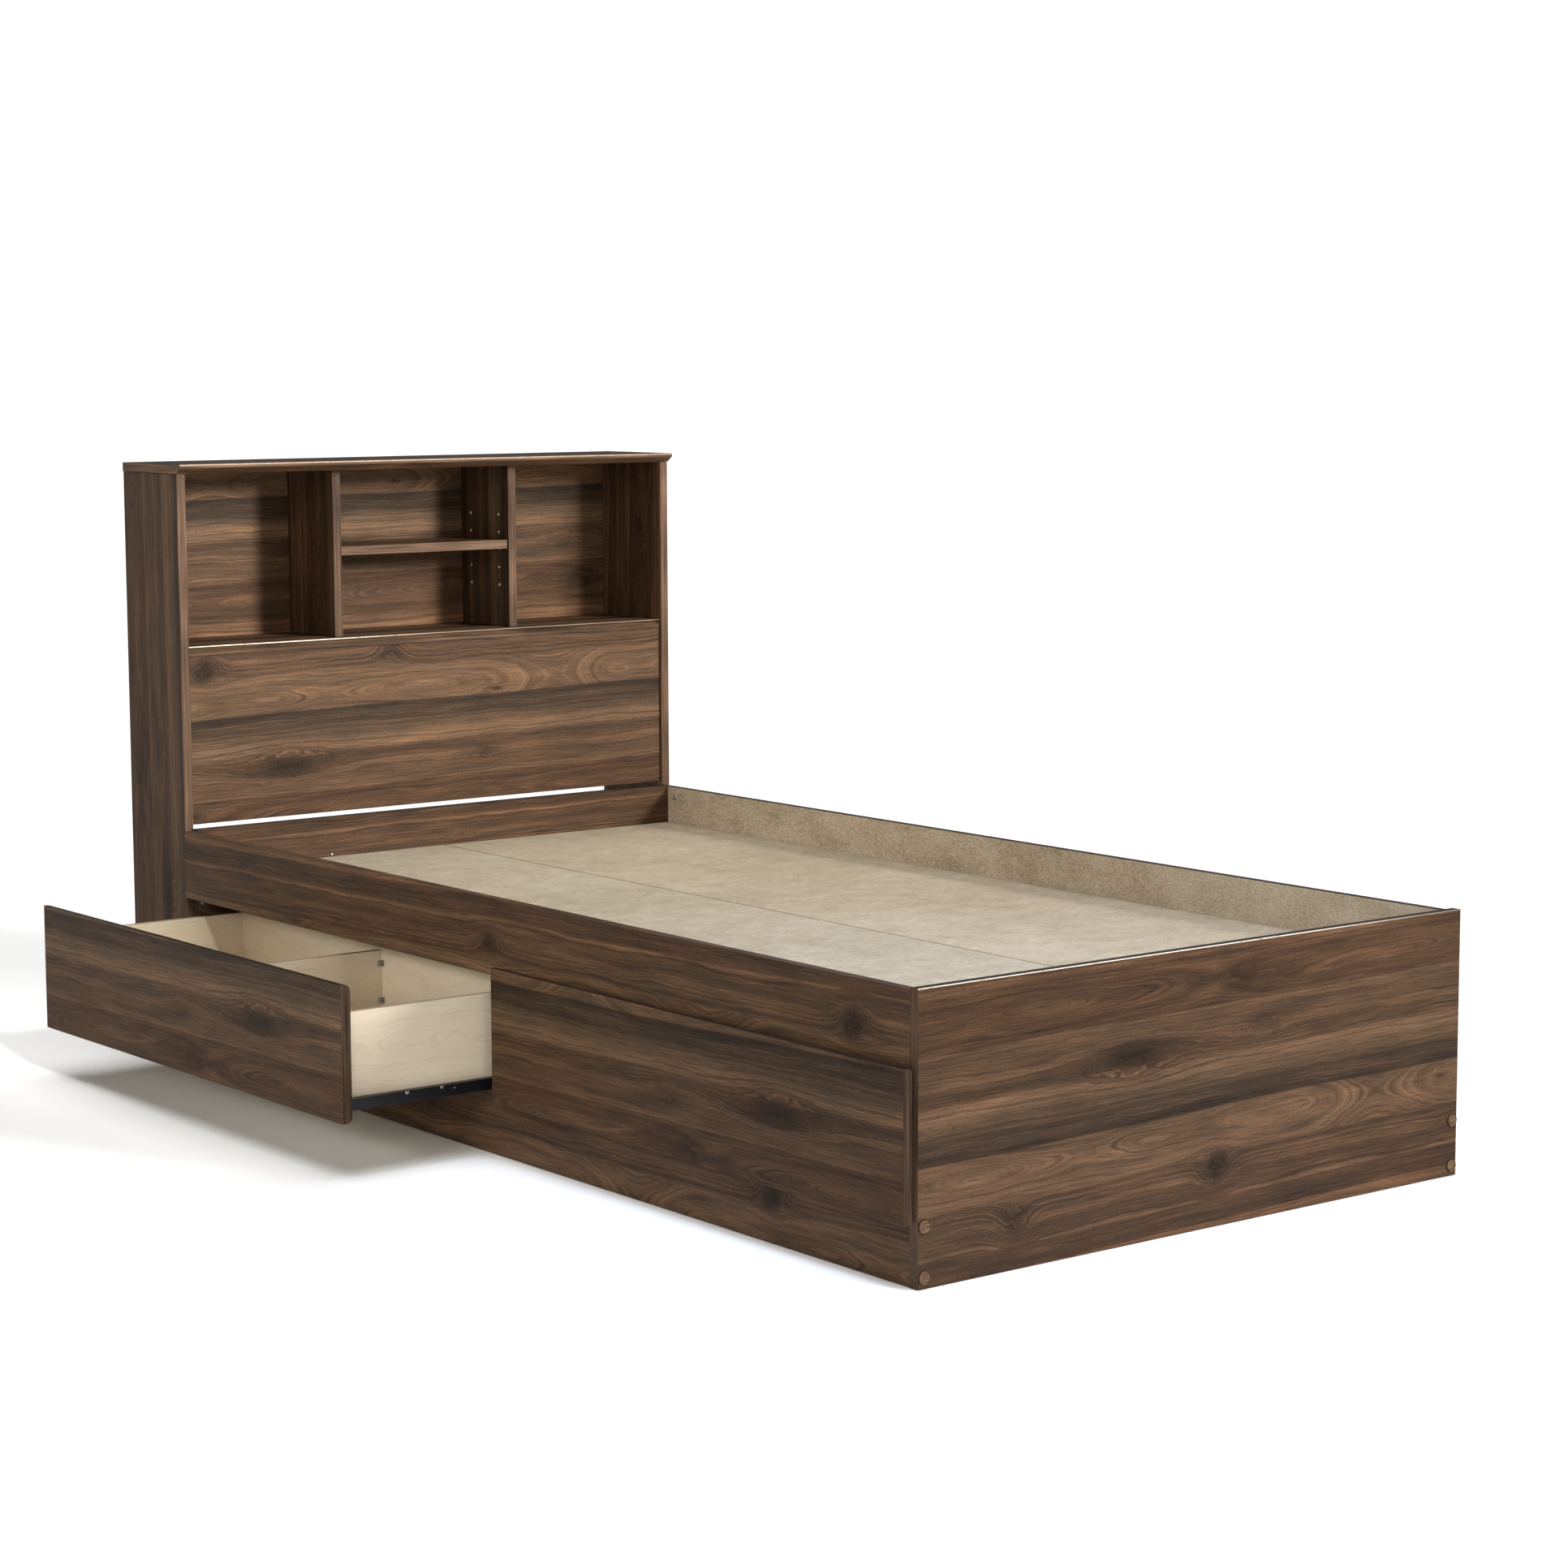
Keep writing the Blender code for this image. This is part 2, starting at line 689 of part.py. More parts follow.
def build_bed():
    clear_scene()
    build_case_panels()
    build_centre_panel()
    build_cross_panel("drawer_bay_partition", -1)
    build_cross_panel("right_cross_brace", 1)
    build_ledgers()
    build_platform()
    build_cover_caps()
    build_headboard_case()
    build_divider("headboard_left_divider", -1)
    build_divider("headboard_right_divider", 1)
    build_shelf()
    build_shelf_pins()
    build_drawers()


build_bed()
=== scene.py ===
import math

import bmesh
import bpy
from mathutils import Matrix, Vector


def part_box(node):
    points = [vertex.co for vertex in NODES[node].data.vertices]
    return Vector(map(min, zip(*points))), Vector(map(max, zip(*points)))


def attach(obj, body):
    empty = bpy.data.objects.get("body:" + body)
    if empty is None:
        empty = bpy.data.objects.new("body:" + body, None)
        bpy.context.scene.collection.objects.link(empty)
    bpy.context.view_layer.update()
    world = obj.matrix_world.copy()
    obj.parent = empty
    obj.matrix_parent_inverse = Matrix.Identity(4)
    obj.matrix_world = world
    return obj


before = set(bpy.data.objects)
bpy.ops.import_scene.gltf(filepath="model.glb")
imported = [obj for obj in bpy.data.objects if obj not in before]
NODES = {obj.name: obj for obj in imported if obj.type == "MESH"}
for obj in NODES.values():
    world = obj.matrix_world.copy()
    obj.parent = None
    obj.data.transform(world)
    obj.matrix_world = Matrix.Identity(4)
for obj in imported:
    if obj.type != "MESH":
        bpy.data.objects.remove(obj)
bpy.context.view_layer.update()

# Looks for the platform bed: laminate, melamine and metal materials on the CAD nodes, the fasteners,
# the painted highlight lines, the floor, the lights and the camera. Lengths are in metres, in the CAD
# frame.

DRAWERS = ("foot_end_drawer", "head_end_drawer")
SIDES = ("foot_side", "head_side")


# ---------------------------------------------------------------- shader helpers

def rgba(code):
    """A hex sRGB colour as linear RGBA."""
    channels = [int(code[i:i + 2], 16) / 255 for i in (0, 2, 4)]
    linear = [c / 12.92 if c <= 0.04045 else ((c + 0.055) / 1.055) ** 2.4 for c in channels]
    return (*linear, 1.0)


NOISE_MIDDLE = 0.5       # the value that noise stays near
FACING = 0.75            # part of a normal along an axis, above which a surface faces that way


class Graph:
    """Adds shader nodes to a tree, one short call each. A value is a number or a node's socket."""

    def __init__(self, tree):
        self.tree = tree

    def node(self, kind, **settings):
        made = self.tree.nodes.new(kind)
        for name, value in settings.items():
            setattr(made, name, value)
        return made

    def feed(self, socket, value):
        if isinstance(value, bpy.types.NodeSocket):
            self.tree.links.new(value, socket)
        else:
            socket.default_value = value

    def math(self, operation, *values, clamp=False):
        made = self.node("ShaderNodeMath", operation=operation, use_clamp=clamp)
        for socket, value in zip(made.inputs, values):
            self.feed(socket, value)
        return made.outputs[0]

    def add(self, *values):
        total = values[0]
        for value in values[1:]:
            total = self.math("ADD", total, value)
        return total

    def times(self, *values):
        product = values[0]
        for value in values[1:]:
            product = self.math("MULTIPLY", product, value)
        return product

    def less(self, a, b):
        return self.math("SUBTRACT", a, b)

    def swing(self, noise, amount=1.0):
        """Noise as a swing to either side of 0."""
        centred = self.less(noise, NOISE_MIDDLE)
        return centred if amount == 1.0 else self.times(centred, amount)

    def clamped(self, value):
        return self.math("ADD", value, 0.0, clamp=True)

    def point(self, x, y, z=0.0):
        made = self.node("ShaderNodeCombineXYZ")
        for socket, value in zip(made.inputs, (x, y, z)):
            self.feed(socket, value)
        return made.outputs[0]

    def noise(self, where, detail=2.0, roughness=0.5, dimensions="2D"):
        """Noise with features one unit across, from 0 to 1 and mostly near 0.5."""
        made = self.node("ShaderNodeTexNoise", noise_dimensions=dimensions)
        self.feed(made.inputs["W" if dimensions == "1D" else "Vector"], where)
        made.inputs["Scale"].default_value = 1.0
        made.inputs["Detail"].default_value = detail
        made.inputs["Roughness"].default_value = roughness
        return made.outputs[0]

    def streaks(self, s, t, length, width, detail=2.0, seed=0.0):
        """Noise drawn out into streaks of that length and width."""
        along = self.add(self.times(s, 1 / length), seed)
        return self.noise(self.point(along, self.times(t, 1 / width)), detail)

    def ramp(self, factor, stops, interpolation="LINEAR"):
        """Stops are (position, colour) pairs, a colour being RGBA or one grey number."""
        made = self.node("ShaderNodeValToRGB")
        made.color_ramp.interpolation = interpolation
        self.feed(made.inputs[0], factor)
        elements = made.color_ramp.elements
        while len(elements) < len(stops):
            elements.new(1.0)
        for element, (position, colour) in zip(elements, stops):
            element.position = position
            element.color = colour if isinstance(colour, tuple) else (colour, colour, colour, 1.0)
        return made.outputs[0]

    def colours(self, factor, *stops):
        """A ramp whose stops are (position, hex colour) pairs."""
        return self.ramp(factor, [(position, rgba(code)) for position, code in stops])

    def mix(self, factor, a, b, blend="MIX"):
        made = self.node("ShaderNodeMix", data_type="RGBA", blend_type=blend)
        for socket, value in zip((made.inputs[0], made.inputs[6], made.inputs[7]), (factor, a, b)):
            self.feed(socket, value)
        return made.outputs[2]

    def within(self, value, low, high):
        """Rises smoothly from 0 at low to 1 at high, or falls where low is above high."""
        made = self.node("ShaderNodeMapRange", interpolation_type="SMOOTHSTEP")
        for socket, number in zip(made.inputs, (value, low, high, 0.0, 1.0)):
            self.feed(socket, number)
        return made.outputs[0]

    def bell(self, s, t, s_centre, t_centre, s_reach, t_reach):
        """1 at a centre, falling off in an oval."""
        along = self.times(self.less(s, s_centre), 1 / s_reach)
        across = self.times(self.less(t, t_centre), 1 / t_reach)
        square = self.add(self.times(along, along), self.times(across, across))
        return self.math("POWER", math.e, self.times(square, -1.0))


def new_group(name, inputs, outputs):
    """A node group with number inputs. Outputs are (name, socket type) pairs."""
    tree = bpy.data.node_groups.new(name, "ShaderNodeTree")
    for label in inputs:
        tree.interface.new_socket(label, in_out="INPUT", socket_type="NodeSocketFloat")
    for label, kind in outputs:
        tree.interface.new_socket(label, in_out="OUTPUT", socket_type=kind)
    graph = Graph(tree)
    return graph, graph.node("NodeGroupInput").outputs, graph.node("NodeGroupOutput").inputs


def new_material(name, metallic=0.0, specular=0.5):
    """An empty principled material, its graph and its shader."""
    material = bpy.data.materials.new(name)
    material.use_nodes = True
    graph = Graph(material.node_tree)
    shader = material.node_tree.nodes["Principled BSDF"]
    shader.inputs["Metallic"].default_value = metallic
    shader.inputs["Specular IOR Level"].default_value = specular
    return material, graph, shader


def bump(graph, shader, height, depth):
    made = graph.node("ShaderNodeBump")
    made.inputs["Distance"].default_value = depth
    graph.feed(made.inputs["Height"], height)
    graph.feed(shader.inputs["Normal"], made.outputs[0])


def place(graph):
    """The object's own X, Y and Z, which are the CAD frame's at rest."""
    split = graph.node("ShaderNodeSeparateXYZ")
    graph.feed(split.inputs[0], graph.node("ShaderNodeTexCoord").outputs["Object"])
    return dict(zip("XYZ", split.outputs))


def facing(graph, axis):
    """1 where the surface faces along that axis, either way, and 0 elsewhere."""
    split = graph.node("ShaderNodeSeparateXYZ")
    graph.feed(split.inputs[0], graph.node("ShaderNodeTexCoord").outputs["Normal"])
    size = graph.math("ABSOLUTE", dict(zip("XYZ", split.outputs))[axis])
    return graph.math("GREATER_THAN", size, FACING)


def facing_up(graph):
    """1 where the surface faces up, and 0 elsewhere."""
    split = graph.node("ShaderNodeSeparateXYZ")
    graph.feed(split.inputs[0], graph.node("ShaderNodeTexCoord").outputs["Normal"])
    return graph.math("GREATER_THAN", split.outputs[2], FACING)


# ---------------------------------------------------------------- printed walnut

DECOR_WIDTH = 0.430      # the print repeats across the grain after this
DECOR_SLOPE = 0.0170     # the print's planks climb this much per metre of length
PLANK_WANDER = 0.012     # how far the planks' edges stray from straight

# The planks of the print, in order across the grain: start, centre of the growth rings, how far the
# cut's depth below that centre wanders along the board, and the spacing of the rings.
PLANKS = (
    (0.000, -0.500, 0.000, 0.0050),
    (0.031, -0.400, 0.010, 0.0060),
    (0.091, 0.133, 0.052, 0.0052),
    (0.157, 0.700, 0.000, 0.0045),
    (0.203, 0.750, 0.000, 0.0040),
    (0.235, 0.600, 0.015, 0.0055),
    (0.299, 0.335, 0.026, 0.0050),
    (0.374, -0.450, 0.000, 0.0050),
)
# Tone across the grain, from 0 dark to 1 light.
TONES = (
    (0.000, 0.36), (0.020, 0.41), (0.030, 0.36), (0.032, 0.47), (0.060, 0.48), (0.086, 0.43),
    (0.092, 0.52), (0.120, 0.58), (0.150, 0.54), (0.1565, 0.52), (0.158, 0.31), (0.170, 0.33),
    (0.186, 0.38), (0.200, 0.46), (0.212, 0.58), (0.224, 0.62), (0.236, 0.50), (0.262, 0.44),
    (0.284, 0.52), (0.298, 0.60), (0.300, 0.36), (0.335, 0.43), (0.372, 0.38), (0.375, 0.54),
    (0.395, 0.60), (0.420, 0.52),
)
# Redness across the grain, from 0 grey to 1 red.
REDNESS = (
    (0.000, 0.70), (0.060, 0.60), (0.092, 0.50), (0.155, 0.45), (0.160, 0.05), (0.195, 0.10),
    (0.215, 0.35), (0.240, 0.55), (0.295, 0.45), (0.301, 0.80), (0.370, 0.85), (0.400, 0.90),
)
RING_SWAY = 0.018        # how far the growth rings wander, in long waves
RING_SHIVER = 0.0030     # the same in short ripples
KNOT_RINGS = 9.0         # closed rings round a knot, for each unit of its darkness
KNOT_RAGGED = 15.0       # how unevenly those rings are spaced round it
CORE_LENGTH = 0.55       # a knot's dark core, as a share of its reach along the grain
CORE_WIDTH = 0.6         # and across it
CORE_SHARE = 0.6         # how much of a knot's darkness is in its core
# Knots: place along and across the grain, reach along and across, how strongly the grain flows round
# them, how far it is pushed aside, and how dark they are.
KNOTS = (
    (0.378, 0.2480, 0.095, 0.0340, 0.85, 0.012, 0.36),
    (0.628, 0.2620, 0.065, 0.0240, 0.75, 0.010, 0.18),
    (0.534, 0.0740, 0.032, 0.0280, 0.70, 0.010, 0.42),
    (0.165, 0.0600, 0.034, 0.0300, 0.30, 0.012, 0.26),
    (-0.030, 0.2620, 0.045, 0.0180, 0.70, 0.010, 0.26),
    (-0.055, 0.1480, 0.020, 0.0060, 0.60, 0.004, 0.40),
    (0.640, 0.3300, 0.100, 0.0180, 0.50, 0.012, 0.18),
    (0.990, 0.1350, 0.020, 0.0060, 0.60, 0.003, 0.30),
    (1.180, 0.2480, 0.065, 0.0210, 0.90, 0.006, 0.34),
    (1.400, 0.0700, 0.028, 0.0200, 0.60, 0.008, 0.40),
    (1.620, 0.3300, 0.080, 0.0180, 0.60, 0.010, 0.22),
)
WALNUT_COLOURS = (
    (0.00, "1d1713"), (0.20, "30261e"), (0.38, "433429"), (0.52, "554334"), (0.66, "6a5341"),
    (0.82, "836953"), (1.00, "9e836b"),
)


def turns(stops):
    """Places across the print as shares of its width."""
    return [(start / DECOR_WIDTH, value) for start, value in stops]


def plank_value(graph, share, column, shift=1.0):
    """One column of the plank table, at a place across the print."""
    stops = [(plank[0] / DECOR_WIDTH, (plank[column] + shift) / 4) for plank in PLANKS]
    value = graph.times(graph.ramp(share, stops, "CONSTANT"), 4.0)
    return graph.less(value, shift)


def growth_rings(graph, s, share, height):
    """Distance from the tree's heart, in ring spacings, and how dark the knots are."""
    # A plank cuts the rings at a depth that changes along it, which draws nested flames and eyes.
    seed = graph.times(plank_value(graph, share, 1), 13.7)
    along = graph.noise(graph.add(graph.times(s, 1.9), seed), 1.0, dimensions="1D")
    depth = graph.times(graph.swing(along), plank_value(graph, share, 2), 5.0)
    from_centre = graph.less(height, plank_value(graph, share, 1))
    sway = graph.swing(graph.streaks(s, height, 0.20, 0.045, detail=3.0, seed=11.0), RING_SWAY)
    shiver = graph.swing(graph.streaks(s, height, 0.050, 0.010, detail=2.0, seed=19.0), RING_SHIVER)
    from_centre = graph.add(from_centre, sway, shiver)
    ragged = graph.streaks(s, height, 0.030, 0.012, detail=2.0, seed=29.0)
    rings = graph.add(KNOT_RINGS, graph.swing(ragged, KNOT_RAGGED))
    dark, closed = 0.0, 0.0
    for s_knot, t_knot, s_reach, t_reach, flow, push, tone in KNOTS:
        bell = graph.bell(s, height, s_knot, t_knot, s_reach, t_reach)
        aside = graph.less(push, graph.times(graph.less(height, t_knot), flow))
        from_centre = graph.add(from_centre, graph.times(bell, aside))
        core = graph.bell(s, height, s_knot, t_knot, s_reach * CORE_LENGTH, t_reach * CORE_WIDTH)
        halo = graph.times(bell, tone * (1 - CORE_SHARE))
        dark = graph.add(dark, halo, graph.times(core, tone * CORE_SHARE))
        closed = graph.add(closed, graph.times(bell, tone, rings))
    square = graph.add(graph.times(from_centre, from_centre), graph.times(depth, depth), 0.00001)
    radius = graph.math("DIVIDE", graph.math("SQRT", square), plank_value(graph, share, 3, 0.0))
    return graph.add(radius, closed), dark


def walnut_decor():
    """The walnut print. S runs along the grain and T across it, in metres."""
    graph, given, made = new_group(
        "walnut_decor", ("S", "T"), (("Color", "NodeSocketColor"), ("Height", "NodeSocketFloat"))
    )
    s, t = given["S"], given["T"]
    wander = graph.swing(graph.streaks(s, t, 0.60, 0.40, detail=1.0, seed=3.0), PLANK_WANDER)
    across = graph.add(t, wander, graph.times(s, -DECOR_SLOPE))
    share = graph.math("FRACT", graph.times(across, 1 / DECOR_WIDTH))
    height = graph.times(share, DECOR_WIDTH)
    radius, dark = growth_rings(graph, s, share, height)

    rings = graph.noise(radius, 3.0, 0.60, "1D")
    bands = graph.noise(graph.times(radius, 0.22), 1.0, 0.5, "1D")
    clouds = graph.streaks(s, t, 0.16, 0.020, detail=3.0, seed=5.0)
    streaks = graph.streaks(s, graph.times(radius, 0.006), 0.30, 0.0016, detail=2.0, seed=2.0)
    fibres = graph.streaks(s, t, 0.060, 0.0011, detail=2.0, seed=7.0)
    pores = graph.streaks(s, t, 0.008, 0.0006, detail=1.0, seed=13.0)
    pore = graph.within(pores, 0.60, 0.72)

    # The planks' tone, and how far each part of the figure swings it.
    value = graph.add(
        graph.ramp(share, turns(TONES)),
        graph.swing(rings, 0.44),
        graph.swing(bands, 0.26),
        graph.swing(clouds, 0.26),
        graph.swing(streaks, 0.34),
        graph.swing(fibres, 0.38),
        graph.times(pore, -0.16),
        graph.times(dark, -0.75),
    )
    brown = graph.colours(graph.clamped(value), *WALNUT_COLOURS)
    hue = graph.add(graph.ramp(share, turns(REDNESS)), graph.swing(clouds, 0.9))
    grey = graph.mix(1.0, brown, rgba("eef0ea"), "MULTIPLY")
    red = graph.mix(1.0, brown, rgba("ffeddb"), "MULTIPLY")
    graph.feed(made["Color"], graph.mix(graph.clamped(hue), grey, red))
    relief = graph.add(graph.times(fibres, 0.6), graph.times(rings, 0.3), graph.times(pore, -0.8))
    graph.feed(made["Height"], relief)
    return graph.tree


def band_decor():
    """Printed edge banding: straight fine grain, a little lighter than the boards."""
    graph, given, made = new_group(
        "band_decor", ("S", "T", "Tone"), (("Color", "NodeSocketColor"), ("Height", "NodeSocketFloat"))
    )
    s, t = given["S"], given["T"]
    lines = graph.streaks(s, t, 0.15, 0.0028, detail=3.0, seed=2.0)
    tones = graph.noise(graph.times(s, 1 / 0.22), 2.0, dimensions="1D")
    value = graph.add(given["Tone"], graph.swing(lines, 0.75), graph.swing(tones, 0.45))
    brown = graph.colours(graph.clamped(value), *WALNUT_COLOURS)
    graph.feed(made["Color"], graph.mix(1.0, brown, rgba("f8f6f6"), "MULTIPLY"))
    graph.feed(made["Height"], lines)
    return graph.tree


WALNUT, BAND = walnut_decor(), band_decor()

# How each board is cut from the print: its length axis, its width axis, then the sign and shift that
# turn a place along each of them into S and T.
CUTS = {
    "foot_panel": ("X", "Z", 1, 0.5125, 1, 0.0),
    "head_panel": ("X", "Z", -1, 2.05, -1, 0.440),
    "left_upper_rail": ("Y", "Z", 1, 1.374, -1, 0.412),
    "left_lower_rail": ("Y", "Z", 1, 1.20, -1, 0.150),
    "right_side_panel": ("Y", "Z", -1, 0.60, 1, 0.030),
    "right_cross_brace": ("X", "Z", 1, 0.20, 1, 0.0),
    "drawer_bay_partition": ("X", "Z", 1, 0.50, 1, 0.1),
    "centre_panel": ("Y", "Z", 1, 0.90, 1, 0.0),
    "headboard_left_side": ("Z", "Y", 1, 0.10, 1, -0.78),
    "headboard_right_side": ("Z", "Y", 1, 0.75, -1, 1.40),
    "headboard_left_divider": ("Z", "Y", 1, 0.30, 1, -0.70),
    "headboard_right_divider": ("Z", "Y", 1, 1.10, 1, -0.80),
    "headboard_top": ("X", "Y", 1, 0.62, 1, -0.60),
    "headboard_deck": ("X", "Y", 1, 0.95, -1, 1.26),
    "headboard_front_panel": ("X", "Z", -1, 0.0725, -1, 0.7436),
    "headboard_back_panel": ("X", "Z", -1, 1.02, -1, 1.120),
    "headboard_stretcher": ("X", "Z", 1, 0.40, 1, 0.10),
    "adjustable_shelf": ("X", "Y", 1, 0.85, 1, -0.72),
    "foot_end_drawer_front": ("Y", "Z", 1, 1.0785, -1, 0.445),
    "head_end_drawer_front": ("Y", "Z", 1, 0.130, -1, 0.458),
}
SEAM = 0.0009            # width of the dark line where banding meets the board's face
TOP_EDGE_PAINTED_SHADE = 0.75    # how much painted shade darkens a board's top edge
RAIL_TOP_PAINTED_SHADE = 0.30    # the same painted shade, weaker, on the rail over the drawers


def cut_from(graph, group, *values):
    made = graph.node("ShaderNodeGroup", node_tree=group)
    for socket, value in zip(made.inputs, values):
        graph.feed(socket, value)
    return made.outputs


def edge_distance(graph, where, node, axes):
    """How far a point is from the nearest edge of the board's face."""
    low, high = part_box(node)
    nearest = 1.0
    for axis in axes:
        index = "XYZ".index(axis)
        from_low = graph.less(where[axis], low[index])
        from_high = graph.math("SUBTRACT", high[index], where[axis])
        nearest = graph.math("MINIMUM", nearest, graph.math("MINIMUM", from_low, from_high))
    return nearest


def walnut_board(node, name=None, painted_light_gain=1.0, band_tone=0.44, top_painted_shade=TOP_EDGE_PAINTED_SHADE, specular=0.05):
    """Walnut-look laminate on a board's two faces, with banding round its edges and painted shade on its
    top edge.
    """
    length, width, s_sign, s_shift, t_sign, t_shift = CUTS[node]
    thickness = (set("XYZ") - {length, width}).pop()
    material, graph, shader = new_material(name or f"walnut_{node}", specular=specular)
    where = place(graph)
    s = graph.add(graph.times(where[length], s_sign), s_shift)
    t = graph.add(graph.times(where[width], t_sign), t_shift)
    face = cut_from(graph, WALNUT, s, t)
    end = facing(graph, length)
    band_s = graph.add(graph.times(where[width], end), graph.times(s, graph.less(1.0, end)))
    band = cut_from(graph, BAND, band_s, where[thickness], band_tone)
    # Painted shade: the banding on faces that look up is darkened towards near black.
    up = graph.times(facing_up(graph), top_painted_shade)
    banded = graph.mix(up, band["Color"], rgba("1c1612"))
    on_face = facing(graph, thickness)
    colour = graph.mix(on_face, banded, face["Color"])
    seam = graph.within(edge_distance(graph, where, node, (length, width)), 0.0, SEAM)
    seam = graph.add(graph.less(1.0, on_face), graph.times(on_face, seam))
    colour = graph.mix(seam, rgba("2e2620"), colour)
    # Painted light or shade: a gain above 1 lightens the whole board, one below 1 darkens it.
    if painted_light_gain != 1.0:
        colour = graph.mix(1.0, colour, (painted_light_gain, painted_light_gain, painted_light_gain, 1.0), "MULTIPLY")
    graph.feed(shader.inputs["Base Color"], colour)
    smudge = graph.streaks(s, t, 0.09, 0.06, detail=3.0, seed=23.0)
    graph.feed(shader.inputs["Roughness"], graph.add(0.42, graph.times(smudge, 0.14)))
    height = graph.mix(on_face, graph.point(band["Height"], 0, 0), graph.point(face["Height"], 0, 0))
    bump(graph, shader, height, 0.00012)
    return material


# ---------------------------------------------------------------- other materials

CHIP_LENGTH, CHIP_HEIGHT = 0.0030, 0.0016
DUST_PER_METRE = 900.0
GRIT_PER_METRE = 380.0
PAINTED_LIGHT_TO_FOOT = (-0.10, -0.90)    # where along the bed the painted light on the raw side starts and reaches full strength


def particleboard(name):
    """Raw pressed chips: pale and dark flecks a few millimetres long in a tan mass, with painted light
    towards the foot end.
    """
    material, graph, shader = new_material(name, specular=0.1)
    where = place(graph)
    along, up = graph.times(where["Y"], 1 / CHIP_LENGTH), graph.times(where["Z"], 1 / CHIP_HEIGHT)
    chips = graph.node("ShaderNodeTexVoronoi", voronoi_dimensions="2D")
    chips.inputs["Scale"].default_value = 1.0
    graph.feed(chips.inputs["Vector"], graph.point(along, up))
    chip = graph.node("ShaderNodeSeparateColor")
    graph.feed(chip.inputs[0], chips.outputs["Color"])
    fine_along, fine_up = (graph.times(where[axis], DUST_PER_METRE) for axis in "YZ")
    dust = graph.noise(graph.point(fine_along, fine_up), 2.0)
    stain = graph.streaks(where["Y"], where["Z"], 0.09, 0.05, detail=4.0)
    # Painted light: the raw side is lightened towards the foot end.
    foot_painted_light = graph.within(where["Y"], *PAINTED_LIGHT_TO_FOOT)
    value = graph.add(
        0.52,
        graph.swing(chip.outputs[0], 0.34),
        graph.swing(dust, 0.45),
        graph.swing(stain, 0.40),
        graph.times(foot_painted_light, 0.24),
    )
    chips_from_dark = ((0.0, "6a5946"), (0.35, "9e8d75"), (0.6, "bfae95"), (1.0, "e0d3bd"))
    colour = graph.colours(graph.clamped(value), *chips_from_dark)
    graph.feed(shader.inputs["Base Color"], colour)
    graph.feed(shader.inputs["Roughness"], graph.add(0.72, graph.times(dust, 0.2)))
    bump(graph, shader, graph.add(chip.outputs[0], dust), 0.00018)
    return material


PLATFORM_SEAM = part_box("platform_left_board")[1].x


def fibreboard(name, dull, mid, pale):
    """Bare pressed fibreboard: a matted, mottled pale surface with fine fibres and painted shade along
    the seam.
    """
    material, graph, shader = new_material(name, specular=0.12)
    where = place(graph)
    x, y = where["X"], where["Y"]
    mottle = graph.streaks(x, y, 0.055, 0.040, detail=5.0)
    cloud = graph.streaks(x, y, 0.35, 0.28, detail=2.0, seed=4.0)
    warped = graph.add(y, graph.times(mottle, 0.02))
    drifted = graph.add(x, graph.times(cloud, 0.03))
    fibres = graph.streaks(drifted, warped, 0.018, 0.0050, detail=3.0, seed=9.0)
    fine = graph.point(graph.times(x, GRIT_PER_METRE), graph.times(y, GRIT_PER_METRE))
    grit = graph.noise(fine, 3.0)
    fleck = graph.within(graph.streaks(x, y, 0.006, 0.0022, detail=1.0, seed=31.0), 0.76, 0.84)
    value = graph.add(
        0.52,
        graph.swing(mottle, 0.50),
        graph.swing(cloud, 0.34),
        graph.swing(fibres, 0.70),
        graph.swing(grit, 0.95),
        graph.times(fleck, -0.26),
    )
    colour = graph.colours(graph.clamped(value), (0.0, dull), (0.5, mid), (1.0, pale))
    # Painted shade: a dark line along the seam between the two platform boards.
    from_seam = graph.math("ABSOLUTE", graph.less(x, PLATFORM_SEAM))
    seam_painted_shade = graph.times(graph.within(from_seam, 0.0030, 0.0008), 0.8)
    colour = graph.mix(seam_painted_shade, colour, rgba("5f523f"))
    graph.feed(shader.inputs["Base Color"], colour)
    graph.feed(shader.inputs["Roughness"], graph.add(0.62, graph.times(grit, 0.25)))
    bump(graph, shader, graph.add(grit, graph.times(mottle, 0.8)), 0.00022)
    return material


MAPLE_HEART = 0.19       # where across the boards the maple print's rings are centred
MAPLE_RING = 0.011       # spacing of its soft rings
MAPLE_LINE = 0.0085      # and of the thin dark lines between them


